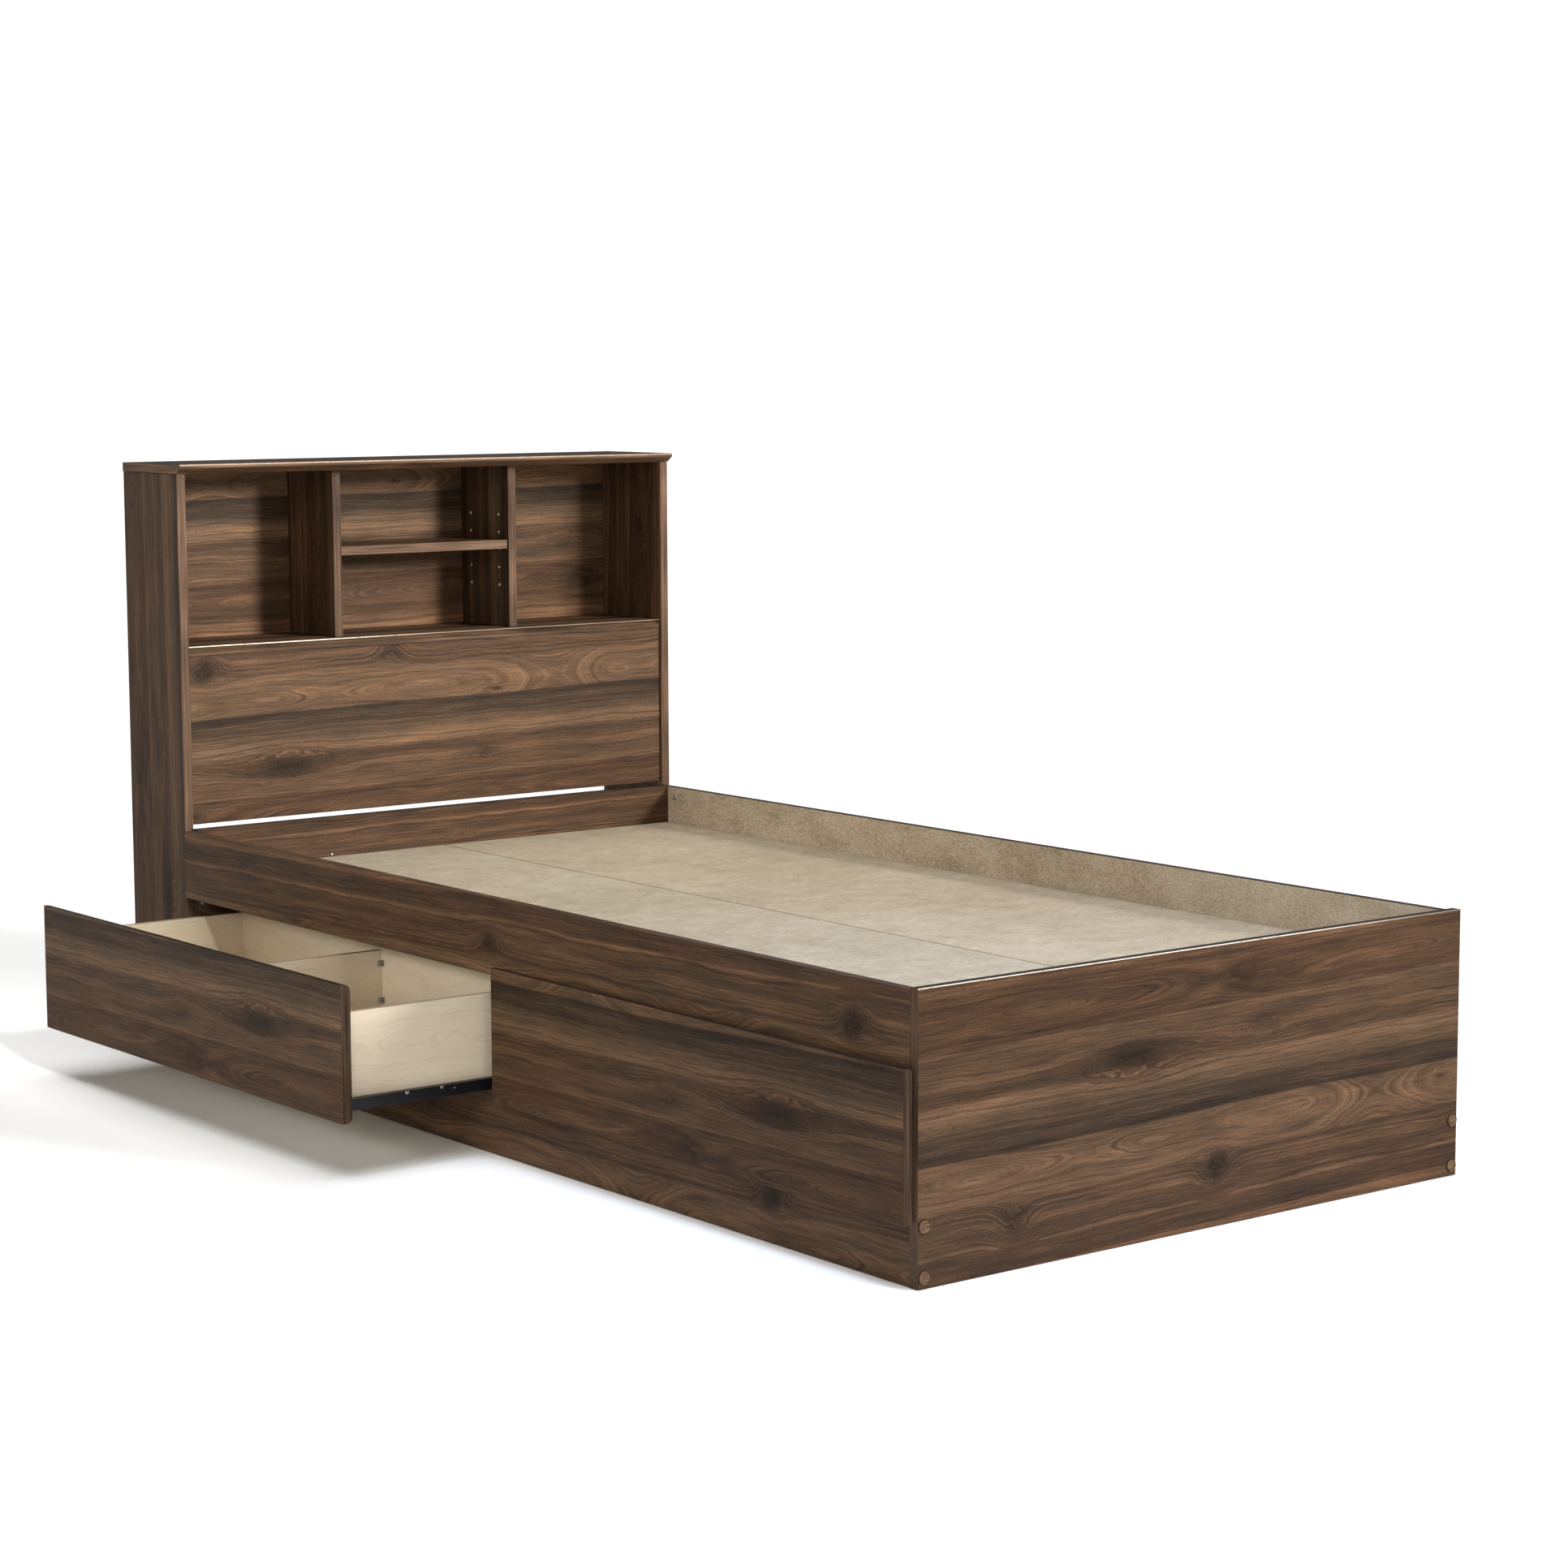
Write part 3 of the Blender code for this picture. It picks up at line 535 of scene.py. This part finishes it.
def maple(name, length, width, edge_tint=0.0):
    """Pale maple-look melamine: faint wavy rings on a creamy ground. Top edges may be tinted brown."""
    material, graph, shader = new_material(name, specular=0.35)
    where = place(graph)
    s, t = where[length], where[width]
    along = graph.noise(graph.times(s, 2.4), 1.0, dimensions="1D")
    depth = graph.swing(along, 0.34)
    centred = graph.less(t, MAPLE_HEART)
    square = graph.add(graph.times(centred, centred), graph.times(depth, depth), 0.0001)
    sway = graph.swing(graph.streaks(s, t, 0.09, 0.035, detail=3.0), 0.028)
    radius = graph.add(graph.math("SQRT", square), sway)
    rings = graph.noise(graph.times(radius, 1 / MAPLE_RING), 2.0, dimensions="1D")
    ripple = graph.math("PINGPONG", graph.times(radius, 1 / MAPLE_LINE), 1.0)
    line = graph.within(ripple, 0.14, 0.0)
    fibres = graph.streaks(s, t, 0.030, 0.0010, detail=2.0, seed=6.0)
    clouds = graph.streaks(s, t, 0.15, 0.05, detail=2.0, seed=8.0)
    value = graph.add(
        0.58,
        graph.swing(rings, 0.40),
        graph.swing(fibres, 0.42),
        graph.swing(clouds, 0.40),
        graph.times(line, -0.22),
    )
    colour = graph.colours(graph.clamped(value), (0.0, "b09e83"), (0.45, "cfbfa4"), (1.0, "e2d8c4"))
    colour = graph.mix(graph.times(facing_up(graph), edge_tint), colour, rgba("6a5138"))
    graph.feed(shader.inputs["Base Color"], colour)
    graph.feed(shader.inputs["Roughness"], graph.add(0.38, graph.times(fibres, 0.12)))
    bump(graph, shader, fibres, 0.00005)
    return material


def softwood(name):
    """Planed softwood for the hidden ledgers."""
    material, graph, shader = new_material(name, specular=0.2)
    where = place(graph)
    s, t = graph.add(where["X"], where["Y"]), where["Z"]
    rings = graph.streaks(s, graph.add(t, graph.times(where["X"], 0.1)), 0.30, 0.0035, detail=2.0)
    colour = graph.colours(rings, (0.25, "9a7850"), (0.55, "c2a276"), (0.80, "d4b98f"))
    graph.feed(shader.inputs["Base Color"], colour)
    graph.feed(shader.inputs["Roughness"], graph.add(0.55, graph.times(rings, 0.15)))
    bump(graph, shader, rings, 0.0001)
    return material


def worn_finish(name, dark, light, roughness, metallic=0.0, specular=0.5, grain=0.004):
    """Paint, plating or plastic with faint unevenness and fine scratches."""
    material, graph, shader = new_material(name, metallic, specular)
    where = place(graph)
    slanted = graph.add(where["Y"], graph.times(where["Z"], 0.7))
    flat = graph.point(graph.add(where["X"], where["Z"]), slanted)
    scaled = graph.node("ShaderNodeVectorMath", operation="SCALE")
    graph.feed(scaled.inputs[0], flat)
    scaled.inputs["Scale"].default_value = 1 / grain
    patches = graph.noise(scaled.outputs[0], 4.0)
    scratches = graph.streaks(where["X"], graph.add(where["Y"], where["Z"]), 0.02, 0.0003, detail=1.0)
    value = graph.add(graph.times(patches, 0.7), graph.times(scratches, 0.3))
    graph.feed(shader.inputs["Base Color"], graph.colours(value, (0.3, dark), (0.7, light)))
    graph.feed(shader.inputs["Roughness"], graph.add(roughness - 0.08, graph.times(value, 0.18)))
    bump(graph, shader, patches, 0.00003)
    return material


def painted_highlight(name, pale, fade_from, fade_to):
    """A painted highlight along a printed board's arris: bright, streaked, and fading to brown along X
    between two places.
    """
    material, graph, shader = new_material(name, specular=0.2)
    where = place(graph)
    highlight_streaks = graph.streaks(where["X"], where["Z"], 0.018, 0.004, detail=3.0)
    highlight = graph.colours(highlight_streaks, (0.25, "a08d76"), (0.45, pale))
    highlight_fade_at = graph.add(where["X"], graph.swing(highlight_streaks, 0.16))
    faded = graph.times(graph.within(highlight_fade_at, fade_from, fade_to), 0.85)
    graph.feed(shader.inputs["Base Color"], graph.mix(faded, highlight, rgba("5e4a39")))
    graph.feed(shader.inputs["Roughness"], graph.add(0.45, graph.times(highlight_streaks, 0.2)))
    bump(graph, shader, highlight_streaks, 0.00003)
    return material


CAP_RIM_SHADE = 0.0018         # width of the painted shade round a cover cap


def printed_cap(node):
    """Wood-look foil on a round cover cap, with painted shade where its rim meets the board."""
    material, graph, shader = new_material(f"{node}_foil", specular=0.08)
    where = place(graph)
    low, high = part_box(node)
    centre = (low + high) / 2
    across = graph.less(where["X"], centre.x)
    upward = graph.less(where["Z"], centre.z)
    reach = graph.math("SQRT", graph.add(graph.times(across, across), graph.times(upward, upward)))
    radius = (high.x - low.x) / 2
    # Painted shade: a dark ring where the cap's rim meets the board.
    clear_of_rim_shade = graph.within(reach, radius - CAP_RIM_SHADE * 0.3, radius - CAP_RIM_SHADE)
    lines = graph.streaks(where["X"], graph.add(where["Z"], centre.x), 0.022, 0.0016, detail=3.0)
    foil = graph.colours(lines, (0.30, "3a2a1e"), (0.50, "5e4734"), (0.70, "7d6247"))
    graph.feed(shader.inputs["Base Color"], graph.mix(clear_of_rim_shade, rgba("241b15"), foil))
    graph.feed(shader.inputs["Roughness"], graph.add(0.40, graph.times(lines, 0.15)))
    bump(graph, shader, lines, 0.00005)
    return material


BLACK_STEEL = worn_finish("black_steel", "0b0b0c", "17171a", 0.34, specular=0.5)
ZINC = worn_finish("zinc_steel", "9c9a94", "c8c6c0", 0.30, metallic=1.0, grain=0.002)
NYLON = worn_finish("nylon", "b8b6ae", "d2d0c8", 0.42, specular=0.4)
PINE = softwood("pine")
RAW_BOARD = particleboard("raw_particleboard")
HOLE_WALL = worn_finish("raw_hole_wall", "d8c8a8", "efe4cc", 0.80, specular=0.1, grain=0.0012)
# The three edge line finishes below are painted highlights along the boards' arrises.
FOOT_PAINTED_HIGHLIGHT = painted_highlight("foot_painted_highlight", "d8cfc0", 0.10, 0.52)
DECK_PAINTED_HIGHLIGHT = painted_highlight("deck_painted_highlight", "ddd4c5", -0.25, 0.05)
TOP_PAINTED_HIGHLIGHT = worn_finish("tan_painted_highlight", "8a7058", "b39a80", 0.45, specular=0.3, grain=0.006)
LEFT_FIBREBOARD = fibreboard("fibreboard_left", "796e59", "968b77", "afa594")
RIGHT_FIBREBOARD = fibreboard("fibreboard_right", "776b56", "998c77", "b1a591")
MAPLE_ALONG_X = maple("maple_along_x", "X", "Z", 0.7)
MAPLE_ALONG_Y = maple("maple_along_y", "Y", "Z", 0.3)
MAPLE_FLAT = maple("maple_flat", "Y", "X")


# ---------------------------------------------------------------- dressing the CAD nodes

WELD_DISTANCE = 0.00001
ARRIS_SEGMENTS = 2
SHARP_ANGLE = 40         # degrees between two faces, above which their edge is rounded
SAME_PLANE = 0.0001      # a face this near a board's side is part of that side

# Radius of the arrises on each kind of piece.
BOARD_ARRIS = 0.0008
PLATFORM_ARRIS = 0.0006
LEDGER_ARRIS = 0.001
DRAWER_ARRIS = 0.0005
STEEL_ARRIS = 0.0003


def dress(node, *materials):
    slots = NODES[node].data.materials
    slots.clear()
    for material in materials:
        slots.append(material)


def add_slot(node, material):
    NODES[node].data.materials.append(material)


def soften(node, width):
    """Rounds a board's arrises, which glTF stores as loose triangles, so they are welded first."""
    weld = NODES[node].modifiers.new("weld", "WELD")
    weld.merge_threshold = WELD_DISTANCE
    bevel = NODES[node].modifiers.new("arris", "BEVEL")
    bevel.width = width
    bevel.segments = ARRIS_SEGMENTS
    bevel.limit_method = "ANGLE"
    bevel.angle_limit = math.radians(SHARP_ANGLE)
    bevel.harden_normals = False


def paint_side(node, axis, direction, index):
    """Gives the faces that look one way along an axis another material slot."""
    for polygon in NODES[node].data.polygons:
        if polygon.normal["XYZ".index(axis)] * direction > FACING:
            polygon.material_index = index


def bare_holes(node, margin, index):
    """Gives the walls of a board's drilled holes another material slot."""
    low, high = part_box(node)
    for polygon in NODES[node].data.polygons:
        in_y = low[1] + margin < polygon.center.y < high[1] - margin
        in_z = low[2] + margin < polygon.center.z < high[2] - margin
        if in_y and in_z and not on_outer_face(polygon, low, high):
            polygon.material_index = index


def on_outer_face(polygon, low, high):
    """True on the two faces that look along X."""
    return min(abs(polygon.center.x - low[0]), abs(polygon.center.x - high[0])) < SAME_PLANE


HOLE_MARGIN = 0.005      # no drilled hole comes this near a board's edge
# Where a board's look differs from the rest: painted light or shade over the whole board, tone of its
# banding, painted shade on its top edge.
BOARD_LOOKS = {
    "headboard_left_side": {"band_tone": 0.57, "painted_light_gain": 0.92},
    "headboard_right_side": {"band_tone": 0.58},
    "headboard_left_divider": {"band_tone": 0.48},
    "headboard_right_divider": {"band_tone": 0.50},
    "adjustable_shelf": {"band_tone": 0.58},
    "headboard_top": {"band_tone": 0.58},
    "foot_end_drawer_front": {"band_tone": 0.37, "painted_light_gain": 0.90},
    "head_end_drawer_front": {"band_tone": 0.37, "painted_light_gain": 0.93},
    "left_lower_rail": {"painted_light_gain": 0.90},
    "left_upper_rail": {"painted_light_gain": 1.12, "top_painted_shade": RAIL_TOP_PAINTED_SHADE},
    # The back panel is painted lighter to lift the shade inside the compartments.
    "headboard_back_panel": {"painted_light_gain": 1.25},
}
for board in CUTS:
    dress(board, walnut_board(board, **BOARD_LOOKS.get(board, {})))
    soften(board, BOARD_ARRIS)
# The top slab's upper face gets a darker copy of its walnut: painted shade.
add_slot("headboard_top", walnut_board("headboard_top", "walnut_painted_shade_top", painted_light_gain=0.36, specular=0.03))
paint_side("headboard_top", "Z", 1, 1)
add_slot("right_side_panel", RAW_BOARD)
paint_side("right_side_panel", "X", -1, 1)
for board in ("headboard_left_divider", "headboard_right_divider"):
    add_slot(board, HOLE_WALL)
    bare_holes(board, HOLE_MARGIN, 1)

dress("platform_left_board", LEFT_FIBREBOARD)
dress("platform_right_board", RIGHT_FIBREBOARD)
for board in ("platform_left_board", "platform_right_board"):
    soften(board, PLATFORM_ARRIS)
for side in ("left", "right", "foot", "head"):
    dress(f"{side}_ledger", PINE)
    soften(f"{side}_ledger", LEDGER_ARRIS)
for node in NODES:
    if node.startswith("cover_cap"):
        dress(node, printed_cap(node))
    if node.startswith("shelf_pin"):
        dress(node, ZINC)
for drawer in DRAWERS:
    for part in ("foot_side", "head_side", "divider"):
        dress(f"{drawer}_{part}", MAPLE_ALONG_X)
        soften(f"{drawer}_{part}", DRAWER_ARRIS)
    dress(f"{drawer}_back", MAPLE_ALONG_Y)
    soften(f"{drawer}_back", DRAWER_ARRIS)
    dress(f"{drawer}_bottom", MAPLE_FLAT)
    for side in SIDES:
        for part in ("case_member", "drawer_member"):
            dress(f"{drawer}_{side}_{part}", BLACK_STEEL)
            soften(f"{drawer}_{side}_{part}", STEEL_ARRIS)
        for part in ("case_roller", "drawer_roller"):
            dress(f"{drawer}_{side}_{part}", NYLON)


# ---------------------------------------------------------------- fasteners and painted highlight lines

def new_piece(name, body, points, faces, material):
    """A mesh that rides on a body, in the given material."""
    mesh = bpy.data.meshes.new(name)
    mesh.from_pydata(points, [], faces)
    mesh.materials.append(material)
    piece = bpy.data.objects.new(name, mesh)
    bpy.context.scene.collection.objects.link(piece)
    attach(piece, body)


def prism_faces(count):
    """Faces of a prism, whose points are the outline of one end and then that of the other."""
    sides = [(i, (i + 1) % count, count + (i + 1) % count, count + i) for i in range(count)]
    return sides + [tuple(reversed(range(count))), tuple(range(count, 2 * count))]


HEAD_SEGMENTS = 24
# A screw head's rings: their reach, as a share of its radius, and their rise, as a share of its height.
HEAD_RINGS = ((0.14, 0.80), (0.34, 0.86), (0.50, 0.97), (0.78, 0.80), (0.94, 0.45), (1.00, 0.0))
RECESS_DEPTH = 0.55      # of the head's height, in the arms of the cross recess
RECESS_RISE = 0.95       # where the recess is measured from, as a share of the height
ARM_REACH = 0.45         # how far out the arms go, as a share of the radius
ARM_WIDTH = 0.6          # below this sine of twice the angle, a point is in an arm


def screw_head(centre, outward, radius, height):
    """Points and faces of a domed screw head with a cross recess."""
    turn = Vector(outward).to_track_quat("Z", "Y")
    points = [Vector((0.0, 0.0, height * (RECESS_RISE - RECESS_DEPTH)))]
    for reach, rise in HEAD_RINGS:
        for step in range(HEAD_SEGMENTS):
            angle = math.tau * step / HEAD_SEGMENTS
            in_arm = reach < ARM_REACH and abs(math.sin(2 * angle)) < ARM_WIDTH
            level = height * (rise - (RECESS_DEPTH if in_arm else 0.0))
            out = radius * reach
            points.append(Vector((out * math.cos(angle), out * math.sin(angle), level)))
    faces = []
    for step in range(HEAD_SEGMENTS):
        following = (step + 1) % HEAD_SEGMENTS
        faces.append((0, 1 + step, 1 + following))
        for ring in range(len(HEAD_RINGS) - 1):
            inner = 1 + ring * HEAD_SEGMENTS
            outer = inner + HEAD_SEGMENTS
            faces.append((inner + step, outer + step, outer + following, inner + following))
    return [Vector(centre) + turn @ point for point in points], faces


def screw_heads(name, body, heads, material=ZINC):
    """One piece of several screw heads, each (centre, outward direction, radius, height)."""
    points, faces = [], []
    for head in heads:
        more_points, more_faces = screw_head(*head)
        faces += [tuple(len(points) + corner for corner in face) for face in more_faces]
        points += more_points
    new_piece(name, body, points, faces, material)


# On each slide's drawer member: distance from its front end, height and radius of each screw.
SLIDE_SCREWS = ((0.1015, 0.1146, 0.0034), (0.1616, 0.1152, 0.0034), (0.1838, 0.1106, 0.0016))
SLIDE_WEB = 0.0091       # from the member's outer side to its upright web
SLIDE_SCREW_HEIGHT = 0.0011


def slide_screws():
    """The screws that hold each drawer member to its drawer side."""
    for drawer in DRAWERS:
        for side, direction in (("foot_side", -1), ("head_side", 1)):
            member = f"{drawer}_{side}_drawer_member"
            low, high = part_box(member)
            web = low[1] + SLIDE_WEB if direction < 0 else high[1] - SLIDE_WEB
            outward = (0, direction, 0)
            heads = [
                ((low[0] + x, web, z), outward, radius, SLIDE_SCREW_HEIGHT)
                for x, z, radius in SLIDE_SCREWS
            ]
            screw_heads(f"{member}_screws", drawer, heads)


CLIP_LEG = 0.0075
CLIP_SHEET = 0.0010
CLIP_ROUND = 0.0004      # how far a leg's rounded end stands out
CLIP_HALF_WIDTH = 0.005
CLIP_HEIGHTS = (0.2197, 0.1591)
CLIP_GAP_X, CLIP_GAP_Y = 0.0002, 0.0001
CLIP_SCREW_RADIUS, CLIP_SCREW_HEIGHT = 0.0024, 0.0012


def corner_clips():
    """Small angle clips that hold each drawer's divider to its back."""
    bend = CLIP_SHEET * 1.6
    tip = CLIP_LEG + CLIP_ROUND
    section = (
        (0.0, 0.0), (-CLIP_LEG, 0.0), (-tip, -CLIP_SHEET / 2), (-CLIP_LEG, -CLIP_SHEET),
        (-bend, -CLIP_SHEET), (-CLIP_SHEET, -bend), (-CLIP_SHEET, -CLIP_LEG),
        (-CLIP_SHEET / 2, -tip), (0.0, -CLIP_LEG),
    )
    faces = prism_faces(len(section))
    for drawer in DRAWERS:
        low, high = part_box(f"{drawer}_divider")
        corner_x, corner_y = high[0] - CLIP_GAP_X, low[1] - CLIP_GAP_Y
        for number, height in enumerate(CLIP_HEIGHTS, 1):
            ends = (height - CLIP_HALF_WIDTH, height + CLIP_HALF_WIDTH)
            points = [(corner_x + x, corner_y + y, z) for z in ends for x, y in section]
            new_piece(f"{drawer}_clip_{number}", drawer, points, faces, ZINC)
            seat = (corner_x - CLIP_LEG * 0.6, corner_y - CLIP_SHEET, height)
            screw = (seat, (0, -1, 0), CLIP_SCREW_RADIUS, CLIP_SCREW_HEIGHT)
            screw_heads(f"{drawer}_clip_screw_{number}", drawer, [screw])


# Each fastener's radius and height.
CORNER_BOLT_HEAD = (0.0046, 0.0018)
CAVITY_SCREW_HEAD = (0.0042, 0.0022)
PLATFORM_SCREW_HEAD = (0.0022, 0.0010)
BRAD_HEAD = (0.0020, 0.0006)

CORNER_BOLT_Y, CORNER_BOLT_Z = 0.934, 0.370
CAVITY_SCREW_X, CAVITY_SCREW_Z = -0.488, 0.266
PLATFORM_SCREW_X, PLATFORM_SCREW_Y = -0.2325, -0.279
PLATFORM_SCREW_RISE = 0.003    # above the platform
BRAD_INSET = 0.008             # from the back panel's edge
BRAD_PITCH = 0.094
BRADS_ACROSS, BRADS_UP = 11, 4


def case_screws():
    """Screws on the case's inner faces."""
    right_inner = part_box("right_side_panel")[0][0]
    head_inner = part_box("head_panel")[0][1]
    leftward, footward = (-1, 0, 0), (0, -1, 0)
    bolt = ((right_inner, CORNER_BOLT_Y, CORNER_BOLT_Z), leftward, *CORNER_BOLT_HEAD)
    screw_heads("case_corner_bolt", "bed", [bolt])
    screw = ((CAVITY_SCREW_X, head_inner, CAVITY_SCREW_Z), footward, *CAVITY_SCREW_HEAD)
    screw_heads("case_cavity_screw", "bed", [screw])
    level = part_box("platform_right_board")[1][2] + PLATFORM_SCREW_RISE
    seats = [
        ((PLATFORM_SCREW_X, head_inner, level), footward, *PLATFORM_SCREW_HEAD),
        ((right_inner, PLATFORM_SCREW_Y, level), leftward, *PLATFORM_SCREW_HEAD),
    ]
    screw_heads("case_platform_screws", "bed", seats)


def back_brads():
    """The brads round the edge of the headboard's back panel."""
    low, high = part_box("headboard_back_panel")
    rise = high[2] - low[2] - 2 * BRAD_INSET
    across = [low[0] + BRAD_INSET + BRAD_PITCH * i for i in range(BRADS_ACROSS)]
    upward = [low[2] + BRAD_INSET + rise * i / (BRADS_UP - 1) for i in range(BRADS_UP)]
    places = [(x, z) for x in across for z in (upward[0], upward[-1])]
    places += [(x, z) for x in (across[0], high[0] - BRAD_INSET) for z in upward[1:-1]]
    brads = [((x, high[1], z), (0, 1, 0), *BRAD_HEAD) for x, z in places]
    screw_heads("headboard_back_brads", "bed", brads, BLACK_STEEL)


LINE_PROUD = 0.00025     # how far an edge line stands out from the board's face
LINE_DEPTH = 0.0012      # how far it is sunk into the board along the arris
LINE_SINK = 0.0005       # and at its far end on the top
LINE_CUT = (0.0002, 0.0001)    # its outer corner is cut off this far down the face and back


def edge_line(name, board, width, wrap, lift, material):
    """A hair-thin line of painted highlight along a board's top front arris, on its -Y face and over its
    top.
    """
    low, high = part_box(board)
    down, back = LINE_CUT
    section = (
        (LINE_PROUD, -width), (LINE_PROUD, -down), (-back, lift), (-wrap, lift),
        (-wrap, -LINE_SINK), (-LINE_DEPTH, -LINE_DEPTH), (-LINE_DEPTH, -width),
    )
    points = [(x, low.y - forward, high.z + up) for x in (low.x, high.x) for forward, up in section]
    new_piece(name, "bed", points, prism_faces(len(section)), material)


def edge_lines():
    """The painted highlight lines: board, width down the face, reach over the top and lift above the top.
    """
    edge_line("foot_panel_painted_highlight", "foot_panel", 0.0011, 0.0004, 0.0002, FOOT_PAINTED_HIGHLIGHT)
    edge_line("deck_painted_highlight", "headboard_deck", 0.0013, 0.0008, 0.0002, DECK_PAINTED_HIGHLIGHT)
    edge_line("top_painted_highlight", "headboard_top", 0.0022, 0.0030, -0.0001, TOP_PAINTED_HIGHLIGHT)


slide_screws()
corner_clips()
case_screws()
back_brads()
edge_lines()


# ---------------------------------------------------------------- floor, lights and camera

FLOOR_RADIUS = 70.0
FLOOR_CORNERS = 96
FLOOR_DROP = 0.0005      # below the bed's underside, so that the two don't coincide


def pale_floor():
    material, graph, shader = new_material("pale_floor", specular=0.0)
    where = place(graph)
    cloud = graph.streaks(where["X"], where["Y"], 0.5, 0.5, detail=3.0)
    white = graph.colours(cloud, (0.2, "f9f9f8"), (0.8, "fdfdfc"))
    graph.feed(shader.inputs["Base Color"], white)
    shader.inputs["Roughness"].default_value = 1.0
    return material


def make_floor():
    mesh = bpy.data.meshes.new("floor")
    shape = bmesh.new()
    bmesh.ops.create_circle(shape, cap_ends=True, segments=FLOOR_CORNERS, radius=FLOOR_RADIUS)
    shape.to_mesh(mesh)
    shape.free()
    floor = bpy.data.objects.new("floor", mesh)
    floor.location.z = -FLOOR_DROP
    mesh.materials.append(pale_floor())
    bpy.context.scene.collection.objects.link(floor)


def make_sky():
    """A white studio wall all round, fading to a dim ceiling."""
    world = bpy.data.worlds.new("studio")
    world.use_nodes = True
    graph = Graph(world.node_tree)
    split = graph.node("ShaderNodeSeparateXYZ")
    graph.feed(split.inputs[0], graph.node("ShaderNodeTexCoord").outputs["Generated"])
    grey = graph.ramp(split.outputs[2], [(0.0, 1.06), (0.11, 1.04), (0.24, 0.16), (1.0, 0.12)])
    background = world.node_tree.nodes["Background"]
    graph.feed(background.inputs[0], grey)
    background.inputs[1].default_value = 1.0
    bpy.context.scene.world = world


WHITE = (1.0, 1.0, 1.0)
WARM = (1.0, 0.95, 0.86)
COOL = (0.60, 0.72, 1.0)


def sun(name, towards, strength, spread, tint=WHITE):
    """Light from a far, soft source that lies in the direction towards, spread over so many degrees."""
    data = bpy.data.lights.new(name, "SUN")
    data.color = tint
    data.energy = strength
    data.angle = math.radians(spread)
    lamp = bpy.data.objects.new(name, data)
    lamp.rotation_mode = "QUATERNION"
    lamp.rotation_quaternion = Vector(towards).to_track_quat("Z", "Y")
    bpy.context.scene.collection.objects.link(lamp)


def snoot(name, place_at, aim_at, half_angle, power, size, tint=WHITE):
    """A far lamp held to a narrow, soft-edged beam. Its angle is in degrees and its power in watts."""
    data = bpy.data.lights.new(name, "SPOT")
    data.color = tint
    data.spot_size = math.radians(2 * half_angle)
    data.spot_blend = 1.0
    data.shadow_soft_size = size
    data.energy = power
    lamp = bpy.data.objects.new(name, data)
    lamp.location = place_at
    lamp.rotation_mode = "QUATERNION"
    lamp.rotation_quaternion = (Vector(place_at) - Vector(aim_at)).to_track_quat("Z", "Y")
    lamp.visible_camera = False
    bpy.context.scene.collection.objects.link(lamp)


SENSOR_WIDTH = 36.0      # millimetres, as is the lens
LENS = 79.94
EYE = (-3.3139, -4.3009, 1.1855)
YAW, PITCH, ROLL = 37.852, 6.964, -0.194    # degrees: turned to the right, tilted down, rolled


def make_camera():
    """The eye looks down a little over the bed's left foot corner, with the headboard on the left."""
    data = bpy.data.cameras.new("camera")
    data.sensor_width = SENSOR_WIDTH
    data.lens = LENS
    yaw, pitch, roll = (math.radians(angle) for angle in (YAW, PITCH, ROLL))
    level = Matrix.Rotation(-yaw, 4, "Z") @ Matrix.Rotation(math.pi / 2, 4, "X")
    turn = level @ Matrix.Rotation(-pitch, 4, "X") @ Matrix.Rotation(roll, 4, "Z")
    camera = bpy.data.objects.new("camera", data)
    camera.matrix_world = Matrix.Translation(EYE) @ turn
    bpy.context.scene.collection.objects.link(camera)
    bpy.context.scene.camera = camera


make_floor()
make_sky()
# Each sun: the direction it lies in, its strength and its spread. Each narrow beam: where the lamp is,
# what it is aimed at, its half angle, its power and the lamp's radius.
sun("overhead", (-0.08, -0.10, 1.0), 2.3, 50)
sun("key", (0.42, -0.85, 0.36), 2.2, 12)
sun("fill", (-0.66, -0.72, 0.34), 0.45, 20, WARM)
snoot("headboard_light", (2.00, -4.40, 2.05), (-0.30, 1.0, 0.70), 11.5, 1560, 0.45)
snoot("side_light", (-4.6, -1.6, 1.9), (-0.50, -0.05, 0.27), 9.0, 260, 0.50)
snoot("drawer_light", (-3.4, -0.3, 1.65), (-0.42, 0.40, 0.36), 7.5, 195, 0.40)
snoot("drawer_end_light", (-1.4, -2.4, 2.2), (-0.74, 0.93, 0.21), 4.5, 470, 0.16)
snoot("platform_light", (-0.2, -0.9, 5.0), (-0.1, -0.80, 0.35), 10.0, 1300, 0.6, COOL)
make_camera()
bpy.context.scene.view_settings.view_transform = "Standard"
